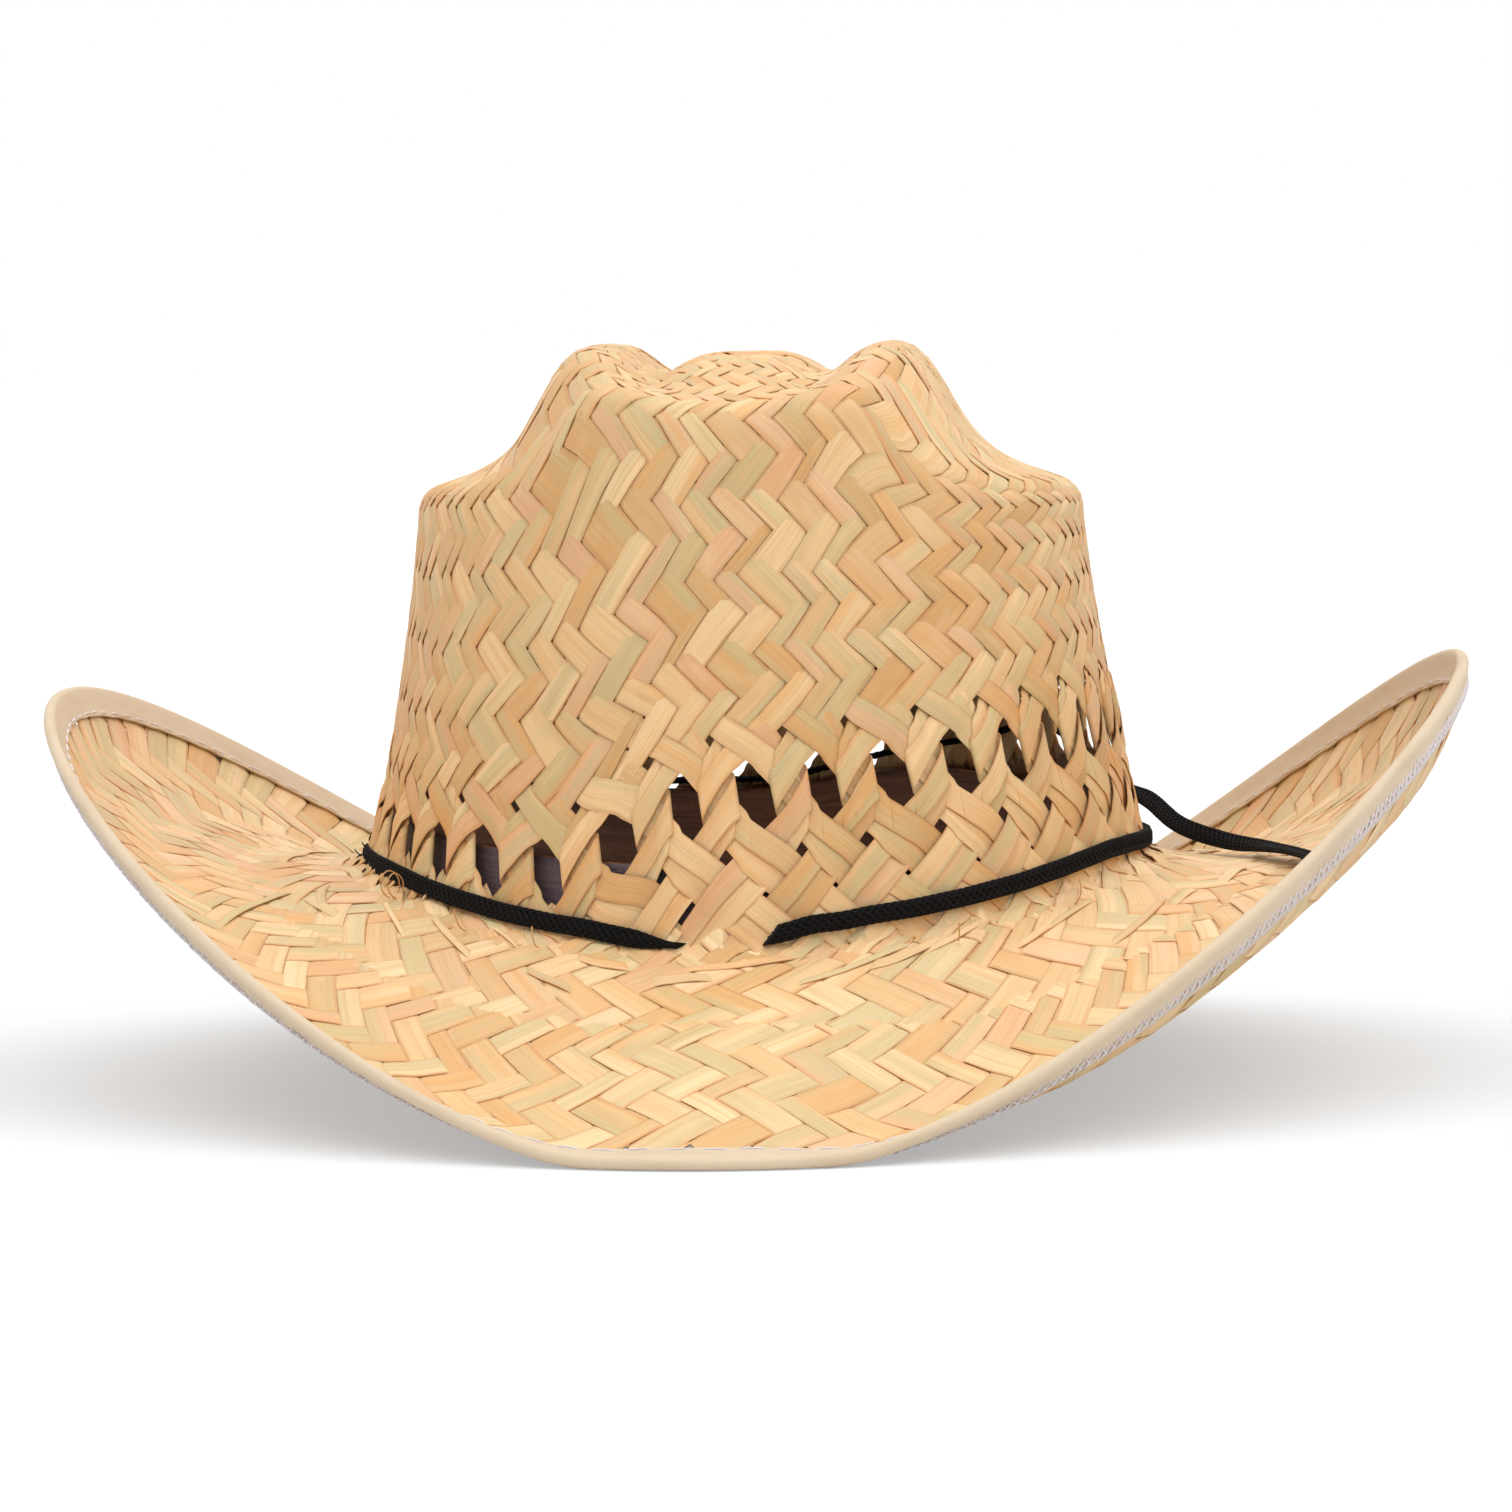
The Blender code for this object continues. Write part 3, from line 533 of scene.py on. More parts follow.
def round_tubes(paths, radius, sides=6, flat=UP, squash=1.0):
    """Round tubes along paths, an array by tube, place and xyz. flat is the direction they are squashed in."""
    ahead = unit(np.gradient(paths, axis=1))
    across = unit(np.cross(ahead, np.broadcast_to(flat, paths.shape)))
    up = np.cross(across, ahead)
    turn = TURN * (np.arange(sides) + 0.5) / sides
    radius = np.broadcast_to(np.asarray(radius, float), paths.shape[:2])[:, :, None, None]
    ring = across[:, :, None] * np.cos(turn)[:, None] + up[:, :, None] * np.sin(turn)[:, None] * squash
    points = paths[:, :, None] + ring * radius
    length = np.stack([run_length(path) for path in paths]) / MM
    uv = stacked(np.arange(sides) / sides * TURN * radius[..., 0] / MM,
                 length[:, :, None] + np.arange(len(paths))[:, None, None] * 3.7)
    return points, uv, None


def sheet(loop, length):
    """A strip of rings round the hat, with UVs from the length round each ring and the one given along them."""
    return loop[None], stacked(run_length(loop[0])[None] / MM, length[:, None])[None], None


def finish_piece(piece, material, slot, *nodes):
    piece.data.materials.append(material)
    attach(piece, "root")
    if nodes:
        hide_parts(*nodes)
    return piece


# ---- Weave. A position in it is (u, w): u counts strand places round the hat and w the same lengths up the wall, so
# one family of strips runs along u - w and the other along u + w.
STRIP_THICKNESS = 0.26 * MM
STRIP_DIP = 0.10 * MM


def strip_section(over, under):
    """Section of a strip with cupped edges: how far across each point lies, which face it is on, and its height."""
    across = np.array(over + under)
    top = np.array([1.0] * len(over) + [-1.0] * len(under))
    cup = np.array([-1.0] + [0.0] * (len(over) - 2) + [-1.0] + [-0.6] * len(under))
    return across, top, top * STRIP_THICKNESS / 2 + cup * STRIP_DIP


PLAIN_STRIP = strip_section([-1.0, -0.7, 0.7, 1.0], [1.0, -1.0])
BENDING_STRIP = strip_section([-1.0, -0.7, -0.35, 0.0, 0.35, 0.7, 1.0], [1.0, 0.5, 0.0, -0.5, -1.0])
WEAVE_MIDDLE = -0.6 * MM
WEAVE_AMP = 0.24 * MM
STEP_SHARE = 0.15
STRIP_FILL = 0.985
STRIP_NARROWING = 0.10
STRIP_TILT = 0.16 * MM
# Painted shade for the dim inside of the hat: the wall's inner faces, but for the open row, are darkened by the first
# value, between the other two values of w
INNER_PAINTED_SHADE = 2.0
PAINTED_SHADE_FROM = -0.7
PAINTED_SHADE_TO = 4.2
VENT_ROW_STEP = 15.1 * MM
VENT_PITCH = 15.6 * MM
WALL_ROWS = 5.0
WALL_CROSSINGS = 28
STRAND_HALF = 0.2115
STRAND_SHIFT = 0.1155
STRAND_CUT = 0.46
WINDOW_STRETCH = 0.13
STRAND_DEPTH = 0.50 * MM
STRAND_BOW = 0.55 * MM
LOBE = 0.060
LOBE_IN = 0.022
PAIR_STEP = 0.30 * MM
PAIR_WIDE = 0.25
PAIR_TIGHT = 0.115
BAND_PAIR = 0.215
BAND_AMP = 0.55 * MM
WANDER = 0.085


class Family:
    """One of the two directions of strips. sign +1 rises with u and -1 falls with it."""

    def __init__(self, pairs, sign, shift, wander, seed):
        chance = np.random.default_rng(seed)
        self.sign = sign
        self.shift = shift
        self.count = 2 * pairs
        self.after = np.clip(chance.normal(0, wander, self.count), -1.7 * wander, 1.7 * wander)
        self.off = (self.after + np.roll(self.after, 1)) / 2
        self.look = chance.random((self.count, 5))
        index = np.arange(-3 * self.count, 4 * self.count)
        self.edge_index = index + 0.5
        self.edge = shift + index * 0.5 + self.after[index % self.count]

    def index_at(self, value, loose, pair):
        """Which strip of the family lies at a place, as a real number."""
        real = np.interp(value, self.edge, self.edge_index)
        k = np.round(value - self.shift)
        within = np.clip((value - self.shift - k) * PAIR_WIDE / pair, -0.5, 0.5)
        return mix(2 * k + 0.5 + 2 * within, real, loose)

    def strip_place(self, number, loose, pair):
        side = (number % 2) * 2 - 1
        return self.shift + np.floor_divide(number, 2) + side * pair + self.off[number % self.count] * loose

    def half_width(self, number, loose, tight):
        width = 0.5 + self.after[number % self.count] - self.after[(number - 1) % self.count]
        return mix(tight, width / 2 * STRIP_FILL, loose)


def two_families(pairs, wander, seed):
    return Family(pairs, 1, 0.0, wander, seed), Family(pairs, -1, 0.25, wander, seed + 1)


def twill(phase):
    return np.clip(3.5 * np.sin(np.pi / 2 * (phase - 0.5)), -1, 1)


def crossing_rows(start, count, first=(), last=()):
    """Rows for both(): the values of w just before and just after count edges of the strips that are crossed."""
    def rows(own, other):
        place = own.strip_place(np.arange(own.count), 1.0, PAIR_WIDE)
        met = np.interp(place + own.sign * 2 * start, other.edge, other.edge_index) * own.sign
        edges = (np.ceil(met - 0.5) + 0.5)[:, None] + np.arange(count)
        steps = (edges[:, :, None] + np.array([-STEP_SHARE, STEP_SHARE])).reshape(len(place), -1) * own.sign
        crossed = own.sign * (np.interp(steps, other.edge_index, other.edge) - place[:, None]) / 2
        before, after = (np.repeat([np.array(part, float)], own.count, 0) for part in (first, last))
        return np.concatenate([before, crossed, after], 1)

    return rows


def strips(own, other, rows, place, numbers=None, section=PLAIN_STRIP, spacing=None):
    """Points of a family's strips. rows are the values of w, for all of them or for each."""
    across, top, skin = section
    loose_of, pair_of, tight_of, slant_of = spacing or EVEN_SPACING
    numbers = np.arange(own.count) if numbers is None else numbers
    rows = np.broadcast_to(rows, (len(numbers), np.shape(rows)[-1]))
    number = numbers[:, None]
    slant = slant_of(rows)[:, :, None]
    look = own.look[numbers % own.count]
    half = own.half_width(number, loose_of(rows), tight_of(rows)) * (1 - STRIP_NARROWING * look[:, 3:4] ** 4)
    reach = half[:, :, None] * across
    middle = own.strip_place(number, loose_of(rows), pair_of(rows)) + own.sign * rows
    u = middle[:, :, None] - own.sign * reach * slant / 2
    w = rows[:, :, None] + reach * (1 - slant / 2)
    index = other.index_at(u + own.sign * w, loose_of(w), pair_of(w))
    height = twill((index - number[:, :, None]) * own.sign) * -own.sign
    depth = height * WEAVE_AMP + (look[:, 4][:, None, None] - 0.5) * STRIP_TILT * across
    if spacing:
        u, depth = lay_wall(own, number[:, :, None], u, w, depth, skin)
    else:
        depth = depth + skin
    points = place(u, w, WEAVE_MIDDLE + depth)
    light, green, pink = look[:, :3].T[..., None, None]
    uv = stacked(reach * VENT_ROW_STEP / math.sqrt(2) / MM + light * 90,
                 rows[:, :, None] * VENT_ROW_STEP * math.sqrt(2) / MM + green * 900)
    # Painted shade: faces that look into the hat get a light value below zero, which the straw material turns dark
    # brown
    if spacing:
        below = (w < -STRAND_CUT) & (w > PAINTED_SHADE_FROM) & (top > 0)
        light = light - INNER_PAINTED_SHADE * np.where(w > STRAND_CUT, (top < 0) & (w < PAINTED_SHADE_TO), below)
    return points, uv, stacked(light, green, pink, across / 2 + 0.5 + 0 * w)


def both(rows, place, families=None, **options):
    """Both families' strips. rows are the values of w, or a function that works them out for a family."""
    groups = []
    own, other = families or (SLASH, BACKSLASH)
    for pair in ((own, other), (other, own)):
        groups.append(strips(*pair, rows(*pair) if callable(rows) else rows, place, **options))
    return groups


def wall_height(angle, w):
    """Height above the brim line. The weave is stretched where the vents are."""
    low = vent_height(angle)
    opened = WINDOW_STRETCH * np.sin(math.pi / 2 * np.clip(w / STRAND_CUT, -1, 1))
    spare = fold_height(angle) - low - VENT_ROW_STEP * (WALL_ROWS + WINDOW_STRETCH)
    return low + VENT_ROW_STEP * (w + opened) + spare * np.maximum(w, 0) ** 2 / WALL_ROWS**2


TOP_CLOSING = 0.19
CORNER = 1.3 * MM
BRIM_SPAN = 0.085
PATCH_SPAN = 2.15
PATCH_FLAT = 18.5 * MM
PATCH_DIVE = 3.2 * MM
BAND_ON_BRIM = 6.5 * MM
BAND_LIFT = 0.45 * MM
BAND_SINK = 1.05 * MM
BAND_SINK_FROM = 1.8 * MM
BAND_SINK_RUN = 3.4 * MM


def place_on_crown(u, w, offset):
    """Weave position to a point on the wall, over the fold onto the top, or round the crown line onto the brim."""
    angle = vent_angle(u)
    height = wall_height(angle, w)
    along = np.where(w <= WALL_ROWS, height / fold_height(angle), 2 - np.exp(-TOP_CLOSING * (w - WALL_ROWS)))
    along = np.clip(along, 0.0, CROWN_END)
    points = crown_point(angle, along)
    normal = surface_normal(crown_point, angle, np.minimum(along, 1.98))
    low = height < CORNER
    if low.any():
        a, h = angle[low], height[low]
        share = np.maximum(-h, 0) / BRIM_SPAN
        t = np.clip((CORNER - h) / (2 * CORNER), 0, 1)[:, None]
        upper = crown_point(a, CORNER / fold_height(a))
        bend = upper * (1 - t) ** 2 + base_point(a) * 2 * t * (1 - t) + brim_point(a, CORNER / BRIM_SPAN) * t**2
        points[low] = np.where((h < -CORNER)[:, None], brim_point(a, share), bend)
        normal[low] = unit(mix(surface_normal(crown_point, a, 0.02), brim_up(a, share + 0.02), t))
        sunk = BAND_SINK * smooth((-BAND_SINK_FROM - h) / BAND_SINK_RUN)
        offset = offset.copy()
        offset[low] += BAND_LIFT * smooth((CORNER - h) / (3 * CORNER)) - sunk
    return points + normal * offset[..., None]


def spacing_of(open_row, above, below, start, run):
    """A value by w: in the open row, and well above and below it; where it starts to change, and over how much."""
    return lambda w: mix(open_row, np.where(w > 0, above, below), smooth((np.abs(w) - start) / run))


# How freely the strips wander, half the distance in a pair, the half width in the pairs, and how slanted ends are
WALL_SPACING = (spacing_of(0.0, 1.0, 0.0, 0.75, 0.7), spacing_of(PAIR_TIGHT, PAIR_WIDE, BAND_PAIR, 0.30, 0.55),
                spacing_of(0.205, 0.24, 0.235, 0.30, 0.5), spacing_of(0.0, 1.0, 1.0, 0.50, 0.40))
EVEN_SPACING = [spacing_of(value, value, value, 0.0, 1.0) for value in (1.0, PAIR_WIDE, 0.24, 1.0)]
SLASH = Family(VENT_COUNT, 1, -STRAND_HALF - STRAND_SHIFT, WANDER, 1)
BACKSLASH = Family(VENT_COUNT, -1, STRAND_HALF - STRAND_SHIFT, WANDER, 2)


def lay_wall(own, number, u, w, depth, skin):
    """Folds a strip round its strand's edge in the open row; below it, pairs pass over and under pairs."""
    k = np.floor_divide(number, 2)
    side = (number % 2) * 2 - 1
    edge = k - own.sign * STRAND_HALF
    past = -own.sign * (u - edge)
    arc = math.pi * STRAND_DEPTH / VENT_PITCH
    radius = STRAND_DEPTH + side * PAIR_STEP / 2 + own.sign * skin
    turned = np.clip(past / arc + 0.5, 0, 1) * math.pi
    flat = np.maximum(0, np.abs(past) - arc / 2)
    bent_u = edge + own.sign * (flat - radius * np.sin(turned) / VENT_PITCH)
    bent = own.sign * radius * np.cos(turned)
    shift = own.sign * side * PAIR_STEP / 2
    above = depth + skin + shift * (1 - WALL_SPACING[0](w))
    crossing = u + own.sign * w - k
    above_share = smooth((0.66 - crossing) / 0.24) if own.sign > 0 else smooth((crossing + 0.96) / 0.26)
    met = own.sign * (2 * edge - u - k) - w - (STRAND_HALF + own.sign * STRAND_SHIFT)
    below = -own.sign * np.clip(1.5 * np.cos(math.pi * met), -1, 1) * BAND_AMP - shift - skin
    below_share = smooth((0.45 - met) / 0.25)
    share = np.where(w >= 0, above_share, below_share)
    bow = STRAND_BOW * np.maximum(0, 1 - (2 * w) ** 2) * np.maximum(0, 1 - ((bent_u - k) / 0.3) ** 2)
    side = np.clip((bent_u - k) / STRAND_HALF, -1.2, 1.2)
    lobe = LOBE * np.exp(-(((w + 0.12 * side) / 0.22) ** 2)) - LOBE_IN
    return bent_u + side * np.abs(side) * lobe * share, mix(np.where(w >= 0, above, below), bent, share) + bow


TOP_COUNT = 18
TOP_REACH = 0.63
PATCH_SCALE = 10.4 * math.sqrt(2) * MM
CROWN_END = 1.995


def crown_weave():
    """The wall from the vents up and over the fold, a ring on the top, and a patch in its middle."""
    groups = both(crossing_rows(1.06, WALL_CROSSINGS, np.arange(STRAND_CUT, 1.0, 0.05)), place_on_crown,
                  spacing=WALL_SPACING)
    angle_of = evenly(top_point(FINE, 0.5), TOP_COUNT)

    def place(u, w, offset):
        reach = TOP_REACH * np.exp(-0.30 * w)
        angle = angle_of(u)
        sunk = -0.8 * MM * smooth((reach - 0.50) / 0.1)
        normal = surface_normal(crown_point, angle, 2 - reach)
        return top_point(angle, reach) + normal * (offset + sunk)[..., None]

    groups += both(crossing_rows(0.0, 15), place, two_families(TOP_COUNT, 0.06, 51))
    numbers = np.arange(-4, 6)

    def patch_rows(own, other):
        middle = own.strip_place(numbers, 1.0, PAIR_WIDE)[:, None]
        reach = np.sqrt(np.maximum(PATCH_SPAN**2 - middle**2, 0.3)) * np.linspace(-1, 1, 57)
        return (own.sign * -middle + reach) / 2

    def place_middle(u, w, offset):
        x, y = -w * PATCH_SCALE, u * PATCH_SCALE
        sunk = 0.7 * MM - 2.3 * MM * smooth((np.hypot(x, y) - PATCH_FLAT) / PATCH_DIVE)
        return top_at(x, y) + surface_normal(top_at, x, y, 0.5 * MM) * (offset + sunk)[..., None]

    groups += both(patch_rows, place_middle, two_families(8, 0.06, 53), numbers=numbers)
    return joined("crown_weave", groups)


def strand_piece(k):
    """One twisted strand of the open row: a pair of strips of each family."""
    rows = np.linspace(STRAND_CUT, -STRAND_CUT, 59)
    numbers = np.array([2 * k, 2 * k + 1])
    return joined(f"strand_{k + 1:02d}", both(rows, place_on_crown, numbers=numbers, spacing=WALL_SPACING))


def base_band_weave():
    """Paired strips below the vents, down to the crown line and a little way onto the brim."""
    def rows(own, _):
        foot = vent_height(vent_angle(np.arange(own.count) / 2.0)) + BAND_ON_BRIM
        last = np.minimum(WINDOW_STRETCH - foot / VENT_ROW_STEP, -STRAND_CUT - 0.2)
        return mix(-STRAND_CUT, last[:, None], np.linspace(0, 1, 25))

    return joined("base_band_weave", both(rows, place_on_crown, section=BENDING_STRIP, spacing=WALL_SPACING))


INNER_PAIRS = 32
OUTER_PAIRS = 46
INNER_ROWS = 1.45
OUTER_ROWS = 2.82
MEETING = 0.33


def brim_weave():
    """Two rings of weave. The inner one turns up inside the crown, and dives under the outer one."""
    inner_angle = evenly(brim_point(FINE, 0.15), INNER_PAIRS)
    outer_angle = evenly(brim_point(FINE, 0.75), OUTER_PAIRS)
    outer_from = MEETING - 0.03

    def place_inner(u, w, offset):
        share = w / INNER_ROWS * MEETING
        angle = inner_angle(u)
        sunk = -0.3 * MM * smooth((0.05 - share) / 0.05) - 1.2 * MM * smooth((share - MEETING - 0.02) / 0.02)
        on_brim = brim_offset(angle, np.maximum(share, 0.0), offset + sunk)
        inside = wall_offset(angle, np.maximum(-share, 0.0) * BRIM_SPAN, offset - 0.9 * MM)
        return np.where((share < 0)[..., None], inside, on_brim)

    def place_outer(u, w, offset):
        t = w / OUTER_ROWS
        share = outer_from + (0.988 - outer_from) * (0.86 * t + 0.14 * t * t)
        sunk = -0.55 * MM * smooth((MEETING + 0.03 - share) / 0.05)
        return brim_offset(outer_angle(u), np.clip(share, 0, 0.990), offset + sunk)

    inner_ends = np.array([1.03, 1.08, 1.14]) * INNER_ROWS
    groups = both(crossing_rows(0.16, 5, (-0.24, -0.02, 0.03), inner_ends), place_inner,
                  two_families(INNER_PAIRS, 0.07, 31))
    groups += both(crossing_rows(0.12, 10, (0.0,), (OUTER_ROWS - 0.09,)), place_outer,
                   two_families(OUTER_PAIRS, 0.07, 41))
    return joined("brim_weave", groups)


STRIP_ENDS = 40
FIBRE_RADIUS = 0.16 * MM
# Degrees round the hat, share of the brim, length in millimetres and turn in radians
LOOSE_FIBRES = ((-146, 0.055, 17, 6.4), (-147, 0.065, 15, 5.2), (-129, 0.08, 7, 1.6), (-117, 0.07, 6, 2.4),
                (-58, 0.08, 7, 1.4), (-38, 0.07, 8, 2.2), (35, 0.07, 9, 2.4), (110, 0.08, 8, 2.0),
                (160, 0.07, 7, 1.6))


def fibres(strands, seed):
    """Thin frayed fibres. Each is a start, its direction, the side it curls to, its length and how far it turns."""
    chance = np.random.default_rng(seed)
    t = np.linspace(0, 1, 40)
    paths = []
    for at, ahead, side, length, curl in strands:
        ahead, side = unit(ahead), unit(side)
        radius = length / curl
        path = at + (np.sin(curl * t) * radius)[:, None] * ahead + ((1 - np.cos(curl * t)) * radius)[:, None] * side
        paths.append(path + (t * length * chance.normal(0.1, 0.06))[:, None] * np.cross(ahead, side))
    return round_tubes(np.stack(paths), FIBRE_RADIUS, 5)


def loose_strip(angle, share, turned, length, width, lift, look, chance):
    """A short strip end lying on the brim, tucked in at both ends."""
    section, _, skin = PLAIN_STRIP
    t = np.linspace(-1, 1, 11)
    around = unit(brim_point(angle + 0.01, share) - brim_point(angle - 0.01, share))
    out = unit(brim_point(angle, share + 0.01) - brim_point(angle, share - 0.01))
    ahead = around * math.cos(turned) + out * math.sin(turned)
    side = -around * math.sin(turned) + out * math.cos(turned)
    bow = chance.normal(0, 0.9 * MM)
    reach = ahead[None] * (t[:, None] * length / 2) + side[None] * (bow * (1 - t[:, None] ** 2))
    taper = width / 2 * np.minimum(1, 3.2 * (1 - np.abs(t)) + 0.35)
    flat = reach[:, None] + side * (taper[:, None] * section)[..., None]
    a = angle + (flat @ around) / np.linalg.norm(brim_point(angle + 0.5, share) - brim_point(angle - 0.5, share))
    dip = -1.1 * MM * smooth((np.abs(t) - 0.72) / 0.28) + 0.12 * MM * np.sin(5 * t + look)
    points = brim_offset(a, np.clip(share + (flat @ out) / BRIM_SPAN, 0.0, 0.97), lift + dip[:, None] + skin)
    uv = stacked(section * width / 2 / MM + look * 90, (t * length / 2 / MM)[:, None] + look * 700)
    light, green, pink = chance.random(3) ** np.array([0.6, 1.0, 1.0])
    return points, uv, stacked(light, green, pink, section / 2 + 0.5 + 0 * t[:, None])


def brim_strip_ends():
    """Short strip ends worked into the brim near the crown, where its strips are added."""
    chance = np.random.default_rng(77)
    found = []
    for k in range(STRIP_ENDS):
        angle = TURN * (k + chance.random()) / STRIP_ENDS
        share = 0.04 + 0.25 * chance.random() ** 1.4
        turned = chance.normal(0, 0.14)
        length = (14 + 20 * chance.random()) * MM
        width = (1.8 + 1.4 * chance.random()) * MM
        found.append(loose_strip(angle, share, turned, length, width, 0.06 * MM, chance.random(), chance))
    found.append(loose_strip(math.radians(-155), 0.42, math.radians(62), 32 * MM, 2.6 * MM, 0.25 * MM, 0.3, chance))
    found[-1][2][..., :3] = (0.35, 1.0, 0.0)
    return joined("brim_strip_ends", [tuple(np.stack(values) for values in zip(*found))])


def loose_fibres():
    """Split fibres that curl up from the straw beside the cord."""
    strands = []
    for degrees, share, length, curl in LOOSE_FIBRES:
        angle = math.radians(degrees)
        outward = unit(brim_point(angle, share + 0.05) - brim_point(angle, share))
        up = brim_up(angle, share)
        start = brim_offset(angle, share, 0.1 * MM)
        strands.append((start, outward + 0.5 * up, up - 0.3 * outward, length * MM, curl))
    return joined("loose_fibres", [fibres(strands, 5)])


# ---- Edge of the brim
RIM_STEPS = 900
PUCKER = 0.16 * MM
TAPE_HUG = 0.10 * MM
UPPER_SIDE = 5.4 * MM
UPPER_FRONT = 4.0 * MM
UNDER_WIDTH = 5.4 * MM
UPPER_STITCH_IN = 0.8 * MM
ZIGZAG_INSET = 2.95 * MM
ZIGZAG_REACH = 1.45 * MM
ZIGZAG_STEP = 1.2 * MM
STITCH_STEP = 7.6 * MM
STITCH_LENGTH = 3.0 * MM
TAPE_REST = CLEARANCE * 0.6


def rough(angle, seed, waves=(37, 61, 113, 171)):
    """A smooth, uneven ripple round the hat, about -1 to 1."""
    chance = np.random.default_rng(seed)
    total = 0.0
    for count in waves:
        total = total + chance.uniform(0.4, 1.0) * np.sin(count * angle + chance.uniform(0, TURN))
    return total / 2.2


def edge_frame(angle):
    up = brim_up(angle, 1.0)
    edge = brim_point(angle, 1.0)
    outward = edge - brim_point(angle, 0.97)
    outward = unit(outward - up * np.sum(outward * up, -1, keepdims=True))
    return edge - up * STRAW / 2 + outward * WIRE_OFFSET, outward, up


def upper_width(angle):
    """The tape's folded edge is less wide on top at the front and back than at the sides."""
    return mix(UPPER_FRONT, UPPER_SIDE, np.cos(angle) ** 2)


def tape_sections(angle):
    """Rings of the folded tape: over the brim, round the bead and back under the brim, outside and then inside."""
    bead, outward, up = edge_frame(angle)
    loop = []
    for skin in (TAPE_THICKNESS, 0.0):
        radius = STRAW / 2 + CLEARANCE + skin
        flaps = []
        for width, seed in ((upper_width(angle), 5), (UNDER_WIDTH, 8)):
            for share in (1, 0.92, 0.7, 0.45, 0.25):
                distance = width * share
                lift = -TAPE_HUG if share == 1 else PUCKER * rough(angle + distance * 9, seed)
                lift = skin + TAPE_REST + lift
                place = share_from_edge(angle, distance + 0.15 * MM * rough(angle, seed + 1))
                flaps.append(brim_offset(angle, place, lift if seed == 5 else -STRAW - lift))
        turns = [bead + up * (math.sin(turn) * radius) + outward * (math.cos(turn) * radius)
                 for turn in np.radians(np.linspace(90, -90, 9))]
        path = flaps[:5] + turns + flaps[:4:-1]
        loop += path if skin else path[::-1]
    loop = np.stack(loop, 1)
    loop[..., 2] = np.maximum(loop[..., 2], 0.0)
    return loop


def binding():
    angle = TURN * np.arange(RIM_STEPS) / RIM_STEPS
    rim = brim_point(angle, 1.0)
    length = np.cumsum(np.linalg.norm(rim - np.roll(rim, 1, 0), axis=1)) / MM
    return joined("binding_tape", [sheet(tape_sections(angle), length)], closed=True, sharp=60)


def rim_places(spacing):
    """Angles evenly spaced by length along the rim."""
    count = round(RIM_LENGTH / spacing)
    return evenly(brim_point(FINE, 1.0), count)(np.arange(count).astype(float))


def upper_stitches():
    """A row of plain stitches near the tape's edge."""
    angle = rim_places(STITCH_STEP)
    t = np.linspace(-1, 1, 9)
    rim_speed = np.linalg.norm(brim_point(angle + 0.005, 1.0) - brim_point(angle - 0.005, 1.0), axis=1) / 0.01
    step = STITCH_LENGTH / rim_speed
    along = angle[:, None] + t * step[:, None]
    lift = TAPE_THICKNESS + TAPE_REST + 0.06 * MM - 0.55 * MM * np.abs(t) ** 6
    inset = upper_width(along) - UPPER_STITCH_IN
    path = brim_offset(along, share_from_edge(along, inset + 0.15 * MM * rough(along, 12)),
                       lift + PUCKER * rough(along + inset * 9, 5))
    return joined("stitches_upper", [round_tubes(path, 0.23 * MM, 6)])


def lower_stitches():
    """Zigzag seam on the underside of the tape."""
    angle = rim_places(ZIGZAG_STEP)
    paths = []
    for start in (0, 2):
        phase = (np.arange(len(angle)) + start) % 4
        zig = np.array([-1.0, 0.0, 1.0, 0.0])[phase] + 0.16 * rough(angle, 14 + start)
        lift = TAPE_THICKNESS + TAPE_REST + np.where(phase % 2 == 1, 0.24 + 0.05 * start, -0.02) * MM
        path = brim_offset(angle, share_from_edge(angle, ZIGZAG_INSET + ZIGZAG_REACH * zig), -STRAW - lift)
        path[:, 2] = np.maximum(path[:, 2], 0.3 * MM)
        paths.append(np.concatenate([path, path[:1]]))
    return joined("stitches_lower", [round_tubes(np.stack(paths), 0.26 * MM, 6)])


def edge_wire():
    """The wire in the bound edge, with its ends side by side at the back."""
    bead = edge_frame(np.linspace(math.radians(90.6), math.radians(90.6 + 358.8), 400))[0]
    bead[:, 2] = np.maximum(bead[:, 2], 1.2 * MM)
    return joined("edge_wire", [round_tubes(bead[None], 0.5 * MM, 8)])


# ---- Sweatband


def band_top(angle):
    """Height of the sweatband's top edge above the brim line."""
    level = BAND_TOP_Z + BAND_TOP_RISE * np.cos(angle) ** 2 + BAND_BACK_RISE * smooth(np.sin(angle))
    return level + bump(signed_degrees(angle), *BAND_BUMP) - base_z(angle)


def band_point(angle, height, depth):
    held = np.maximum(0.0, height)
    found = wall_offset(angle, held, -(STRAW + BAND_TO_WALL + depth))
    found[..., 2] += height - held
    return found


def band_sections(start, span, steps, low, high, near, far, bead):
    """Rings of a band behind the wall: up its near side, over its top edge and down its far side."""
    angle = np.radians(start + span * np.arange(steps + 1) / steps)
    top = band_top(angle) + high - bead
    up, down = [], []
    for share in (0, 0.2, 0.4, 0.6, 0.8):
        wave = 0.25 * MM * rough(angle + share, 15, (9, 17, 29)) * share
        up.append(band_point(angle, mix(low, top, share), near + wave))
        down.insert(0, band_point(angle, mix(low, top, share), far + wave))
    over = [band_point(angle, top + bead * math.sin(turn), (near + far) / 2 + math.cos(turn) * bead)
            for turn in np.radians((200, 150, 110, 70, 30, -20))]
    return sheet(np.stack(up + over + down, 1), np.degrees(angle) * 1.6)


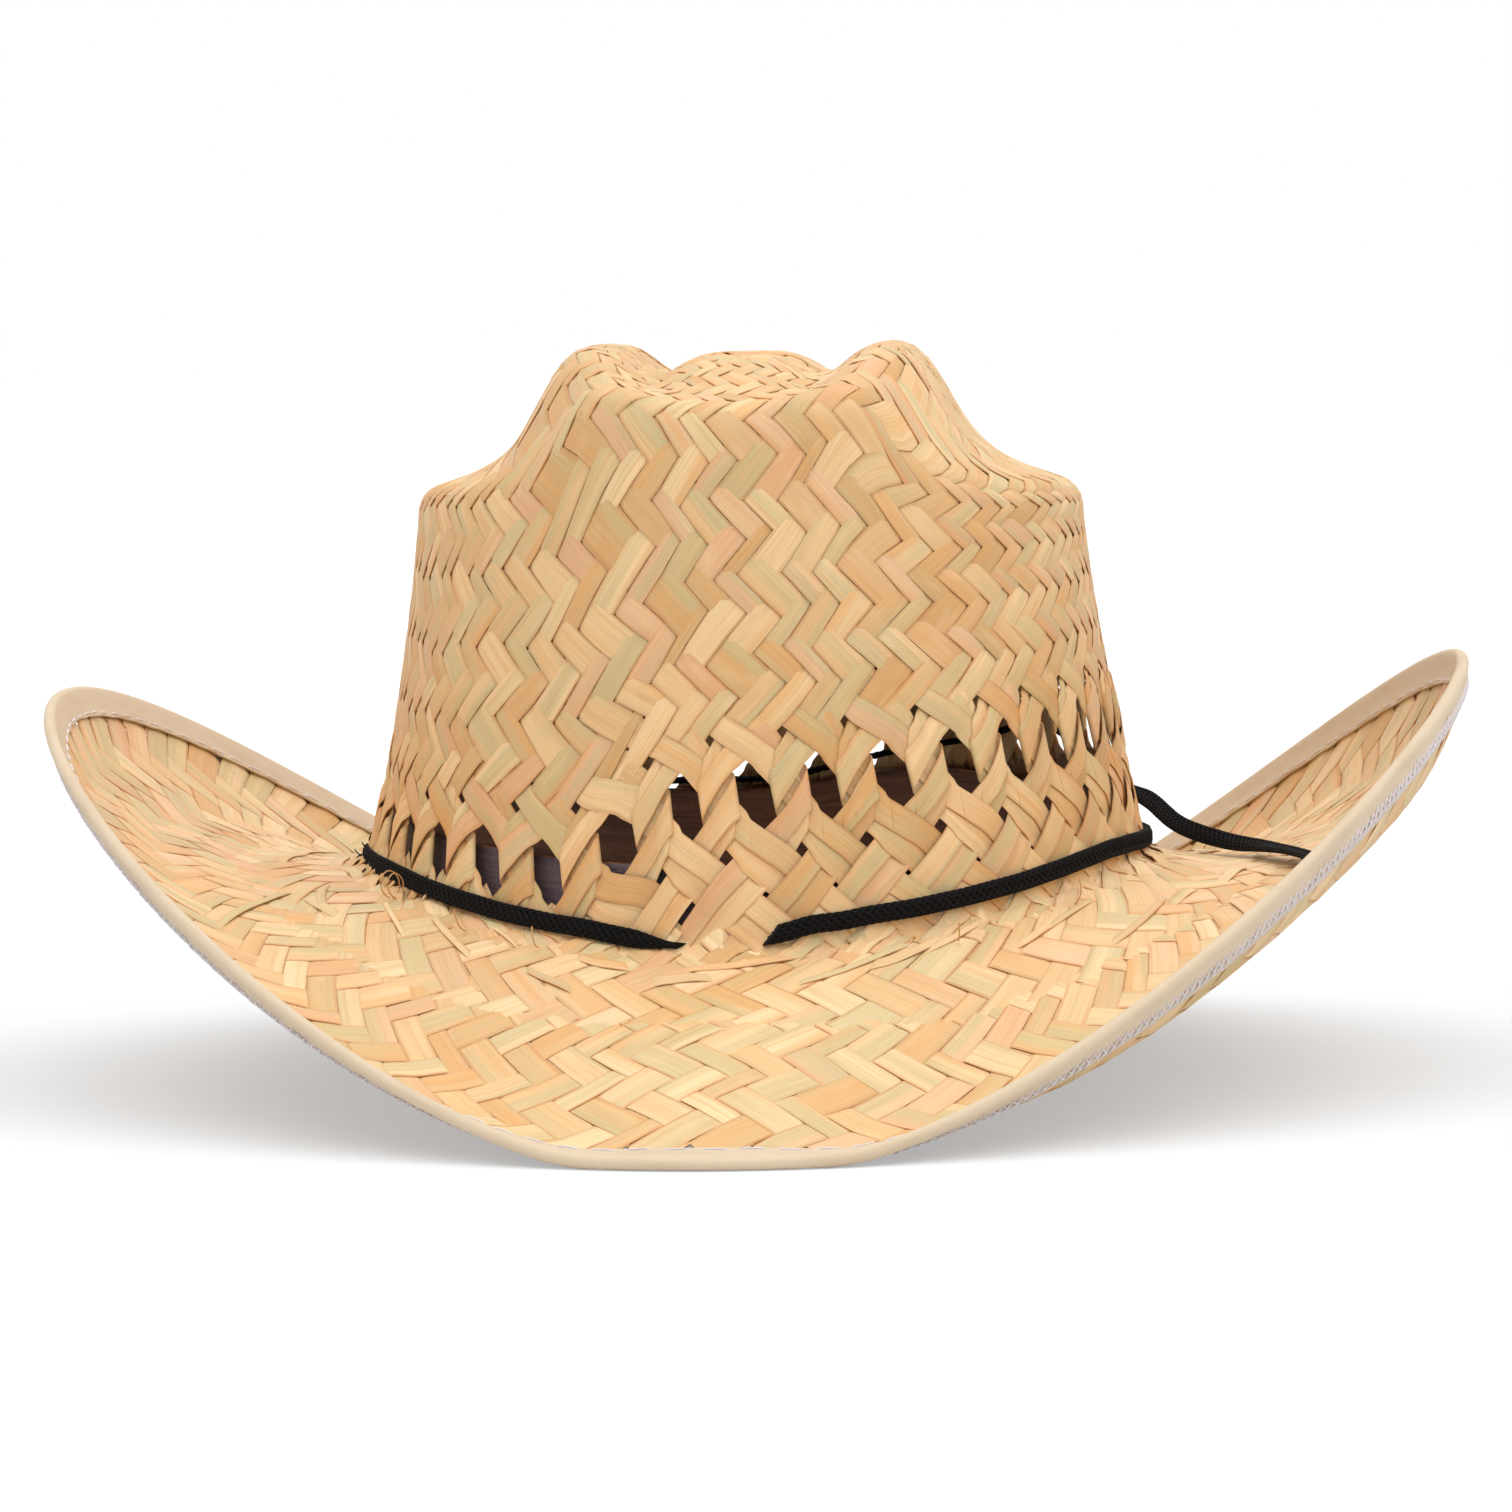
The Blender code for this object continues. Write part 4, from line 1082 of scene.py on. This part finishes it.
def sweatband(inner, backing):
    """The band, with a material of its own on the side that faces the wall."""
    group = band_sections(90 + BAND_SEAM_HALF, 360 - 2 * BAND_SEAM_HALF, 240, -BAND_BELOW_BASE, 0.0, 0.0,
                          BAND_THICKNESS, 0.85 * MM)
    piece = joined("sweatband_cover", [group], sharp=50)
    side = np.arange(len(piece.data.polygons)) % group[0].shape[2]
    piece.data.polygons.foreach_set("material_index", (side < 6).astype(np.int32))
    finish_piece(piece, inner, "sweatband", "sweatband")
    piece.data.materials.append(backing)


def seam_tape():
    group = band_sections(90 - SEAM_TAPE_HALF, 2 * SEAM_TAPE_HALF, 20, 1.0 * MM, -1.0 * MM,
                          -(CLEARANCE + SEAM_TAPE_THICKNESS), -CLEARANCE, SEAM_TAPE_THICKNESS / 2)
    return joined("seam_tape", [group])


def band_stitches():
    angle = TURN * (np.arange(BAND_STITCHES) + 0.5) / BAND_STITCHES
    t = np.linspace(-1, 1, 7)
    along = angle[:, None] + t * (TURN / BAND_STITCHES * 0.36)
    depth = BAND_THICKNESS + 0.20 * MM - 0.35 * MM * np.abs(t) ** 6
    path = band_point(along, np.full_like(along, BAND_STITCH_HEIGHT), np.broadcast_to(depth, along.shape))
    return joined("sweatband_stitches", [round_tubes(path, 0.2 * MM, 6)])


# ---- Cords: flat braids of plaited yarns
YARNS = 12
YARN_RADIUS = 0.34 * MM
PLAIT_LENGTH = 11.0 * MM
KNOT_SIZE = 0.62 * MM


def plait(path, out, half_width, half_thickness, thin=1.0):
    """Yarns plaited into a flat sleeve round a core. out is the direction the flat side faces."""
    length = run_length(path)
    ahead = unit(np.gradient(path, axis=0))
    across = unit(np.cross(ahead, out))
    out = np.cross(across, ahead)
    thin = np.broadcast_to(thin, length.shape)
    wide, thick = half_width - YARN_RADIUS, half_thickness - YARN_RADIUS
    found = []
    for k in range(YARNS):
        sign = 1 if k % 2 else -1
        phase = sign * TURN * length / PLAIT_LENGTH + TURN * (k // 2) / (YARNS // 2) + 0.26 * (k % 2)
        swell = 1 + 0.10 * sign * np.sin(YARNS / 2 * phase) + 0.25 * sign * np.sin(3 * phase)
        x = wide * thin * np.cos(phase)
        y = thick * thin * np.sin(phase) * swell
        found.append(path + across * x[:, None] + out * y[:, None])
    return [round_tubes(np.stack(found), YARN_RADIUS * (0.35 + 0.65 * thin), 5),
            round_tubes(path[None], wide * (0.2 + 0.8 * thin), 8, out[None], thick / wide)]


def braid_height(turned):
    return BRAID_HEIGHT + BRAID_RISE * between(turned, *BRAID_RISE_SPAN)


CORD_FRAY = ((1.0 * MM, 0.9, 1, 1.8 * MM), (-0.6 * MM, 1.8, -1, 2.6 * MM), (-1.4 * MM, 3.0, 1, 3.2 * MM))
TUCK_LEFT = -97.4
TUCK_RIGHT = -83.6
TUCK_RUN = 1.6
TUCK_SLANT = 0.65 / MM
TUCK_SAG = (-112, 16, -90, 4)
TUCK_THIN = (-104, 7, -89, 3)
TUCK_BUMP = (1.4 * MM, -79, 4)
END_SAG_FROM = -148
END_SAG_EASE = 22


def hat_cord():
    """The flat braid round the foot of the crown; it passes under the straw at the front centre."""
    degrees = np.linspace(BRAID_LEFT_END - 360, BRAID_LEFT_END - BRAID_END_GAP, 1000)
    angle = np.radians(degrees)
    outside = CLEARANCE + BRAID_THICKNESS / 2
    inside = -(STRAW + BRAID_THICKNESS / 2)
    height = braid_height(degrees) + 0.10 * MM * rough(angle, 22, (11, 23, 41))
    height = height - 1.9 * MM * between(degrees, *TUCK_SAG) + bump(degrees, *TUCK_BUMP)
    height = height - 1.3 * MM * smooth((END_SAG_FROM - degrees) / END_SAG_EASE)
    path = wall_offset(angle, height, outside + 0.12 * MM * rough(angle, 21, (13, 29, 47)))
    out = surface_normal(crown_point, angle, wall_along(angle, height))
    thin = mix(1.0, 0.30, between(degrees, *TUCK_THIN))
    groups = []
    for points, uv, _ in plait(path, out, BRAID_WIDTH / 2 + 0.05 * MM, BRAID_THICKNESS / 2 + 0.1 * MM, thin):
        turned = degrees[:, None] - TUCK_SLANT * (points[..., 2] - path[:, None, 2])
        under = smooth(np.minimum((turned - TUCK_LEFT) / TUCK_RUN, (TUCK_RIGHT - turned) / TUCK_RUN))
        groups.append((points + out[:, None] * ((inside - outside) * under)[..., None], uv, None))
    back = unit(path[0] - path[4])
    groups.append(fibres([(path[0] + UP * rise, unit(back + out[0] * spread), UP * side, length, 0.9)
                          for rise, spread, side, length in CORD_FRAY], 9))
    return joined("hat_cord_braid", groups)


def smooth_path(points, count):
    """count points evenly along a Catmull-Rom curve through points."""
    points = np.asarray(points)
    padded = np.concatenate([[points[0] * 2 - points[1]], points, [points[-1] * 2 - points[-2]]])
    t = np.arange(20)[:, None] / 20
    before, start, end, after = (padded[k:k + len(points) - 1, None] for k in range(4))
    bend = (before * 2 - start * 5 + end * 4 - after) * t * t + (start * 3 - before - end * 3 + after) * t**3
    fine = np.append((start * 2 + (end - before) * t + bend).reshape(-1, 3) / 2, points[-1:], 0)
    length = run_length(fine)
    wanted = np.linspace(0, length[-1], count)
    return np.stack([np.interp(wanted, length, fine[:, axis]) for axis in range(3)], 1)


def chin_route():
    """Inside along the back on top of the sweatband, out through a vent, down onto the brim and along it."""
    strands = even_vent_angle(np.array([CHIN_VENT - 1.0, float(CHIN_VENT)]))
    vent = strands.mean()
    route = []
    for value, lift in CHIN_INSIDE:
        angle = math.radians(value)
        height = band_top(angle) + CHIN_RADIUS + 2 * CLEARANCE + lift
        route.append(wall_offset(angle, height, CHIN_INSIDE_OFFSET))
    for turned, height, offset in CHIN_VENT_PASS:
        angle = vent + math.radians(turned)
        route.append(wall_offset(angle, vent_height(angle) + height, offset))
    for value, share, lift in CHIN_ON_BRIM:
        route.append(brim_offset(math.radians(value), share, CHIN_RADIUS + 2 * CLEARANCE + lift))
    return smooth_path(route, CHIN_POINTS)


def knot(name, centre, axis):
    """An overhand knot pulled tight in the cord."""
    t = TURN * np.arange(60) / 60
    ahead = Vector(axis).normalized()
    side = ahead.orthogonal().normalized()
    x = (np.sin(t) + 2 * np.sin(2 * t)) * KNOT_SIZE
    y = (np.cos(t) - 2 * np.cos(2 * t)) * KNOT_SIZE
    z = -np.sin(3 * t) * KNOT_SIZE * 1.25
    path = centre + stacked(x, y, z) @ np.array([side, ahead.cross(side), ahead])
    ring = np.concatenate([path[-2:], path, path[:2]])[None]
    points, uv, _ = round_tubes(ring, 0.98 * MM, 10, np.array(ahead))
    return joined(name, [(points[:, 2:-2], uv[:, 2:-2], None)], closed=True)


def chin_cord(black):
    points = chin_route()
    path = smooth_path(points, 620)
    share = np.linspace(0, 1, len(path))[:, None]
    out = mix(UP, np.array([0.10, -1.0, 0.35]), smooth((share - 0.44) / 0.12))
    out = unit(mix(out, np.array([0.0, -0.15, 1.0]), smooth((share - 0.66) / 0.26)))
    piece = joined("chin_cord_braid", plait(path, out, 2.25 * MM, 0.78 * MM))
    finish_piece(piece, black, "chin_cord", "chin_cord")
    for name, end, before in (("anchor_knot", points[0], points[1]), ("end_knot", points[-1], points[-2])):
        axis = unit(end - before)
        tied = knot(name, end + axis * (KNOT_RADIUS * 0.8), axis)
        finish_piece(tied, black, "chin_cord", f"chin_cord_{name}")


# ---- Camera, light and floor
PHOTO_SIDE = 1512
FOCAL_PIXELS = 7180
SENSOR = 36
EYE = (0.1005, -1.5968, 0.167)
AIM = (0, 0, 0.07)
ROLL = 0.72
LAMP_WAY = (-0.12, 0.16, -1.0)
FLOOR_SIZE = 40


def camera():
    data = bpy.data.cameras.new("camera")
    data.lens = FOCAL_PIXELS / PHOTO_SIDE * SENSOR
    data.sensor_width = SENSOR
    data.shift_x = -0.0013
    eye = bpy.data.objects.new("camera", data)
    eye.location = EYE
    turn = (Vector(AIM) - eye.location).to_track_quat("-Z", "Y").to_matrix()
    eye.rotation_euler = (turn @ Matrix.Rotation(math.radians(-ROLL), 3, "Z")).to_euler()
    bpy.context.scene.collection.objects.link(eye)
    bpy.context.scene.camera = eye


def studio():
    """A soft lamp, a grey sky that is white where it is seen, and a pale floor that glows for the camera alone."""
    scene = bpy.context.scene
    scene.view_settings.view_transform = "Standard"
    scene.world = bpy.data.worlds.new("studio")
    scene.world.use_nodes = True
    n = Nodes(scene.world.node_tree)
    ray = n.add("ShaderNodeLightPath").outputs
    mirrored = n.math("MAXIMUM", ray["Is Glossy Ray"], ray["Is Transmission Ray"])
    seen = n.math("MAXIMUM", ray["Is Camera Ray"], mirrored)
    n.put(n.tree.nodes["Background"], {"Color": (1, 1, 1, 1), "Strength": n.ramp(seen, 0.0, 1.0, 0.56, 1.0)})
    data = bpy.data.lights.new("softbox", "SUN")
    data.energy = 2.5
    data.angle = math.radians(95)
    lamp = bpy.data.objects.new("softbox", data)
    lamp.rotation_euler = Vector(LAMP_WAY).to_track_quat("-Z", "Y").to_euler()
    scene.collection.objects.link(lamp)
    bpy.ops.mesh.primitive_plane_add(size=FLOOR_SIZE, location=(0, 0, -0.2 * MM))
    floor = bpy.context.object
    floor.name = "floor"
    made, n, shader = new_material("floor")
    seen = n.add("ShaderNodeLightPath").outputs["Is Camera Ray"]
    away = n.numbered("ShaderNodeVectorMath", n.at(), operation="LENGTH").outputs["Value"]
    n.put(shader, {"Base Color": n.blend(seen, (0.80, 0.80, 0.80, 1), (0.455, 0.470, 0.487, 1)), "Roughness": 1.0,
                   "Specular IOR Level": 0.0, "Emission Color": (1, 1, 1, 1),
                   "Emission Strength": n.math("MULTIPLY", seen, n.ramp(away, 0.25, 1.0, 0.40, 0.60))})
    floor.data.materials.append(made)


camera()
black = yarn_material("black_braid", (25, 22, 22), (9, 8, 8), 0.03, 0.95)
chin_cord(black)
finish_piece(hat_cord(), black, "hat_cord", "hat_cord")
studio()
straw = straw_material("palm_straw", (213, 166, 109), (239, 203, 152))
# Painted light: a lighter, paler copy of the straw for the brim, which faces up into the stronger light
brim_straw_painted_light = straw_material("palm_straw_brim_painted_light", (221, 177, 121), (245, 212, 164))
tape = cloth_material("binding_cloth", (228, 208, 180), (186, 158, 126), 1.6)
thread = yarn_material("stitching_thread", (254, 248, 248), (236, 226, 228), 0.2)
finish_piece(crown_weave(), straw, "straw", "crown_upper")
for place in range(VENT_COUNT):
    finish_piece(strand_piece(place), straw, "straw", f"vent_strand_{place + 1:02d}")
finish_piece(base_band_weave(), straw, "straw", "crown_base_band")
finish_piece(brim_weave(), brim_straw_painted_light, "straw", "brim")
finish_piece(brim_strip_ends(), brim_straw_painted_light, "straw")
finish_piece(loose_fibres(), straw, "straw")
finish_piece(binding(), tape, "binding_tape", "brim_binding")
finish_piece(upper_stitches(), thread, "binding_thread", "binding_thread_upper")
finish_piece(lower_stitches(), thread, "binding_thread", "binding_thread_lower")
finish_piece(edge_wire(), wire_material("wire"), "edge_wire", "brim_wire")
sweatband(leatherette_material("sweatband_face", (118, 76, 54), (160, 110, 80), (66, 42, 32)),
          leatherette_material("sweatband_backing", (84, 66, 72), (100, 80, 84), (56, 44, 50)))
finish_piece(seam_tape(), cloth_material("seam_cloth", (40, 36, 38), (22, 20, 22), 1.8), "sweatband_tape",
             "sweatband_seam_tape")
finish_piece(band_stitches(), yarn_material("sweatband_yarn", (150, 120, 92), (104, 80, 60)),
             "sweatband_thread", "sweatband_thread")
